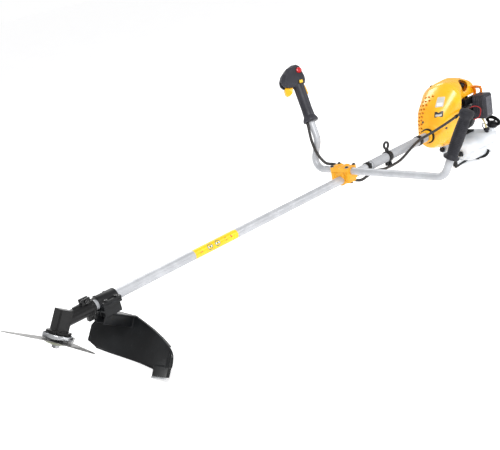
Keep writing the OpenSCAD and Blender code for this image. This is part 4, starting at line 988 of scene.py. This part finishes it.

# Straight rope cord drawn out of the starter
rope = tube([(1734, 30, 24), (1734, 44, 24), (1734, 54, 24), (1734, 64, 24)], 1.6, 12, 0.8)
rope_obj = piece("rope_cord", rope, ROPE, body=None)
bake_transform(rope_obj)
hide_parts("starter_rope")

start = MACHINE.inverted() @ (GRIP @ Vector((15.5, 0, 3)))
second = MACHINE.inverted() @ (GRIP @ Vector((15.5, 0, -11)))
conduit = tube([start, second, (1031, 108, 120), (1035, 98, 79), (1039, 72, 46), (1061, 47, 32), (1073, 30, -8),
                (1092, -9, -25), (1126, -20, -19), (1158, -22, -14), (1212, -26, -23), (1290, -28, -20), (1368, -27, 3),
                (1424, -22, 11), (1474, -43, 24), (1507, -75, 44), (1560, -91, 59), (1600, -92, 65), (1640, -92, 70)],
               4.6, 16, 2.5)
piece("cable_conduit", conduit, CONDUIT, "root", stands_for=("throttle_conduit",))
piece("conduit_clip", join(
    moved(lathe([(4.6, -4), (6.2, -4), (6.6, -3), (6.6, 3), (6.2, 4), (4.6, 4)], 28, loop=True),
          axes(Vector((0.2, 0, 0.98)).normalized(), Vector((0, 0, 1)).cross(Vector((0.96, -0.2, 0.2))).normalized(),
               Vector((0.95, -0.26, 0.2)).normalized(), (1550, -89, 56.5)))), BLACK, "root")

# ---- grips -----------------------------------------------------------------------------------

n = 142
profile = [(11.2, 0), (19.6, 0), (21.4, 0.8), (22.2, 2.4), (22.2, 4.8), (21, 6.2), (18, 8), (16.8, 11)]
for k in range(21):
    z = 13 + 4.9 * k
    base = 15.4 + 1.9 * math.sin(math.pi * min(1, k / 20)) ** 1.0
    profile += [(base - 0.7, z), (base - 0.7, z + 0.9), (base, z + 1.4), (base + 0.1, z + 4.0), (base - 0.5, z + 4.5)]
profile += [(16, n - 23), (17.8, n - 20), (19.6, n - 16), (20.4, n - 10), (19.8, n - 5.5), (17.6, n - 2), (13, n - 0.3), (0.1, n)]
profile = profile + [(0.1, n - 8), (11.2, n - 8)]
piece("plain_grip", lathe(profile, 64, loop=True), RUBBER, "root", LEFT_GRIP,
      stands_for=("left_grip",), angle=40)

soften("grip_half_left", "throttle_grip_left", CHARCOAL, 0.9, 5, "root")
soften("grip_half_right", "throttle_grip_right", CHARCOAL, 0.9, 5, "root")
# ---- cutting head, guard and clamps ------------------------------------------------------------

soften("gear_head_case", "gear_case", BLACK_METAL, 0.6, 4, "root")
WALL = Vector((2, -86))
GUARD_R = 219


def on_wall(angle, z, r):
    a = math.radians(angle)
    return (WALL.x + r * math.cos(a), WALL.y + r * math.sin(a), z)


def wall_rib(angle, z0, z1, half, r0, r1):
    a = math.radians(angle)
    side = Vector((-math.sin(a), math.cos(a), 0)) * half
    ring = []
    for z in (z0, z1):
        p, q = Vector(on_wall(angle, z, r0)), Vector(on_wall(angle, z, r1))
        ring.append([p - side, q - side, q + side, p + side])
    return skin(ring)


rim = tube([on_wall(a, z, GUARD_R + 1.6 + 7.9 * min(1, max(0, (a + 12) / 24))) for a, z in
            ((25, 83), (16, 71), (8, 60), (0, 50), (-8, 41), (-15, 33), (-20, 24), (-22.6, 12), (-23.2, 2), (-23.2, -5))], 2.0, 12, 4)
ribs = [wall_rib(-17.4, -9, 22, 0.9, GUARD_R - 3.0, GUARD_R + 1), wall_rib(-14.8, -12, 26, 0.9, GUARD_R - 3.0, GUARD_R + 1)]
ribs += [wall_rib(a, -20 + abs(a) * 0.1, top, 1.0, GUARD_R + 1.2, GUARD_R + 5) for a, top in ((-8, 40), (8, 58), (22, 76), (36, 78))]
foot = tube([on_wall(a, z, GUARD_R + 1.4) for a, z in ((-23.2, -4.5), (-20, -8), (-15, -13.5), (-10, -18.8), (-4, -25), (12, -23), (24, -21.5), (36, -19), (45, -15))],
            2.1, 10, 5)
soften("guard_body", "guard_shell", GUARD, 1.15, 3, "root",
       join(rim, foot, *ribs), BLADE)

for name, node, material in (("bar_block", "handle_block", YELLOW_CAST), ("bar_cap", "handle_cap", YELLOW_CAST),
                             ("bar_saddle", "handle_saddle", YELLOW_CAST)):
    soften(name, node, material, 0.7, 4, "root")
tabs = []
for x, y in ((1018.5, -29), (1018.5, 29), (1053.5, -29), (1053.5, 29)):
    tabs.append(moved(lathe([(4.6, 0), (6.4, 0), (6.4, 0.9), (5.9, 1.3), (2.7, 1.3)], 30), Matrix.Translation((x, y, 41.0))))
piece("bar_washers", join(*tabs), STEEL, "root")

# ---- labels on the boom: plain bands and dots, no lettering ------------------------------------


def on_tube(x, a, r):
    t = math.radians(a)
    return (x, r * math.cos(t), r * math.sin(t))


def wrap(name, x0, x1, a0, a1, r, material, corner=0.0):
    """Thin foil on the boom between two stations and two angles."""
    nx, na = 30, 26
    rings = []
    for i in range(nx + 1):
        x = x0 + (x1 - x0) * i / nx
        row = [on_tube(x, a0 + (a1 - a0) * k / na, r) for k in range(na + 1)]
        row += [on_tube(x, a1 - (a1 - a0) * k / na, 13.02) for k in range(na + 1)]
        rings.append(row)
    return piece(name, skin(rings), material, "root")


def spot(name, x, a, size, r, material, hole=0.0, sides=36):
    """Disc or ring laid round the boom at a station and an angle."""
    rings = []
    for radius, lift in ((size, 13.02), (size, r), (max(hole, 0.05), r), (max(hole, 0.05), 13.02)):
        ring = []
        for k in range(sides):
            t = 2 * math.pi * k / sides + math.pi / 6
            ring.append(on_tube(x + radius * math.cos(t), a + math.degrees(radius * math.sin(t) / 13), lift))
        rings.append(ring)
    return piece(name, skin(rings, loop=True), material, "root")


FACE = 156
wrap("boom_band", 403, 557, FACE - 95, FACE + 95, 13.16, LABEL_YELLOW)
for i, x in enumerate((455, 482)):
    spot(f"band_disc_{i + 1}", x, FACE, 8.2, 13.26, WHITE)
    spot(f"band_ring_{i + 1}", x, FACE, 8.6, 13.34, TEAL, 6.7)
    spot(f"band_dot_{i + 1}", x, FACE, 2.6, 13.36, TEAL)
spot("band_mark_red", 424, FACE, 6.6, 13.28, RED, 3.4, 3)
spot("band_mark_dark", 512, FACE, 6.2, 13.28, DARK, 4.4, 4)
spot("band_mark_small", 532, FACE, 4.2, 13.28, RED, 0, 4)

# ---- stage, light and camera --------------------------------------------------------------------

floor_mesh = bpy.data.meshes.new("floor")
floor_mesh.from_pydata([(-30, -30, 0), (30, -30, 0), (30, 30, 0), (-30, 30, 0)], [], [(0, 1, 2, 3)])
floor = bpy.data.objects.new("floor", floor_mesh)
bpy.context.scene.collection.objects.link(floor)
paper = Nodes("paper")
paper.set("Base Color", paper.mix(paper.ramp(paper.noise(3, 4), 0.35, 0.65), tone(246, 246, 247), tone(250, 250, 251)))
paper.set("Roughness", 0.95)
paper.set("Emission Color", (1, 1, 1, 1))
paper.set("Emission Strength", 0.42)
floor_mesh.materials.append(paper.mat)

world = bpy.data.worlds.new("studio")
bpy.context.scene.world = world
world.use_nodes = True
world.node_tree.nodes["Background"].inputs["Color"].default_value = (1, 1, 1, 1)
# Plain white to the camera, softer as a light
sky = world.node_tree.nodes.new("ShaderNodeLightPath")
lift = world.node_tree.nodes.new("ShaderNodeMapRange")
lift.inputs["To Min"].default_value = 0.6
lift.inputs["To Max"].default_value = 1.0
world.node_tree.links.new(sky.outputs["Is Camera Ray"], lift.inputs["Value"])
world.node_tree.links.new(lift.outputs["Result"], world.node_tree.nodes["Background"].inputs["Strength"])


def area_light(name, at, target, size, watts):
    data = bpy.data.lights.new(name, "AREA")
    data.shape = "DISK"
    data.size = size
    data.energy = watts
    obj = bpy.data.objects.new(name, data)
    obj.matrix_world = look_along(Vector(at) - Vector(target), at)
    bpy.context.scene.collection.objects.link(obj)


area_light("key", (-2.6, -2.4, 3.2), (-0.6, 0, 0.2), 1.6, 105)
area_light("side", (1.8, -2.8, 2.2), (-0.2, 0, 0.3), 1.6, 36)
area_light("rim", (0.6, 2.8, 2.6), (-0.6, 0, 0.3), 2.0, 60)

TURN, TILT, ROLL = (math.radians(a) for a in (40.7, 18.5, 11.6))
CAMERA_AT = (-701.4, -1531.1, 679.5)
right = Vector((math.cos(TURN), -math.sin(TURN), 0))
up = Vector((math.sin(TURN) * math.sin(TILT), math.cos(TURN) * math.sin(TILT), math.cos(TILT)))
back = Vector((-math.sin(TURN) * math.cos(TILT), -math.cos(TURN) * math.cos(TILT), math.sin(TILT)))
spin = Matrix.Rotation(-ROLL, 3, "Z")
tilted = Matrix((right, up, back)).transposed() @ spin
camera_data = bpy.data.cameras.new("camera")
camera_data.sensor_width = 36
camera_data.lens = 55.23
camera_data.clip_start = 0.05
camera = bpy.data.objects.new("camera", camera_data)
bpy.context.scene.collection.objects.link(camera)
camera.matrix_world = MACHINE @ Matrix.Translation(CAMERA_AT) @ tilted.to_4x4() @ Matrix.Scale(1000, 4)
bpy.context.scene.camera = camera
bpy.context.scene.view_settings.view_transform = "Standard"
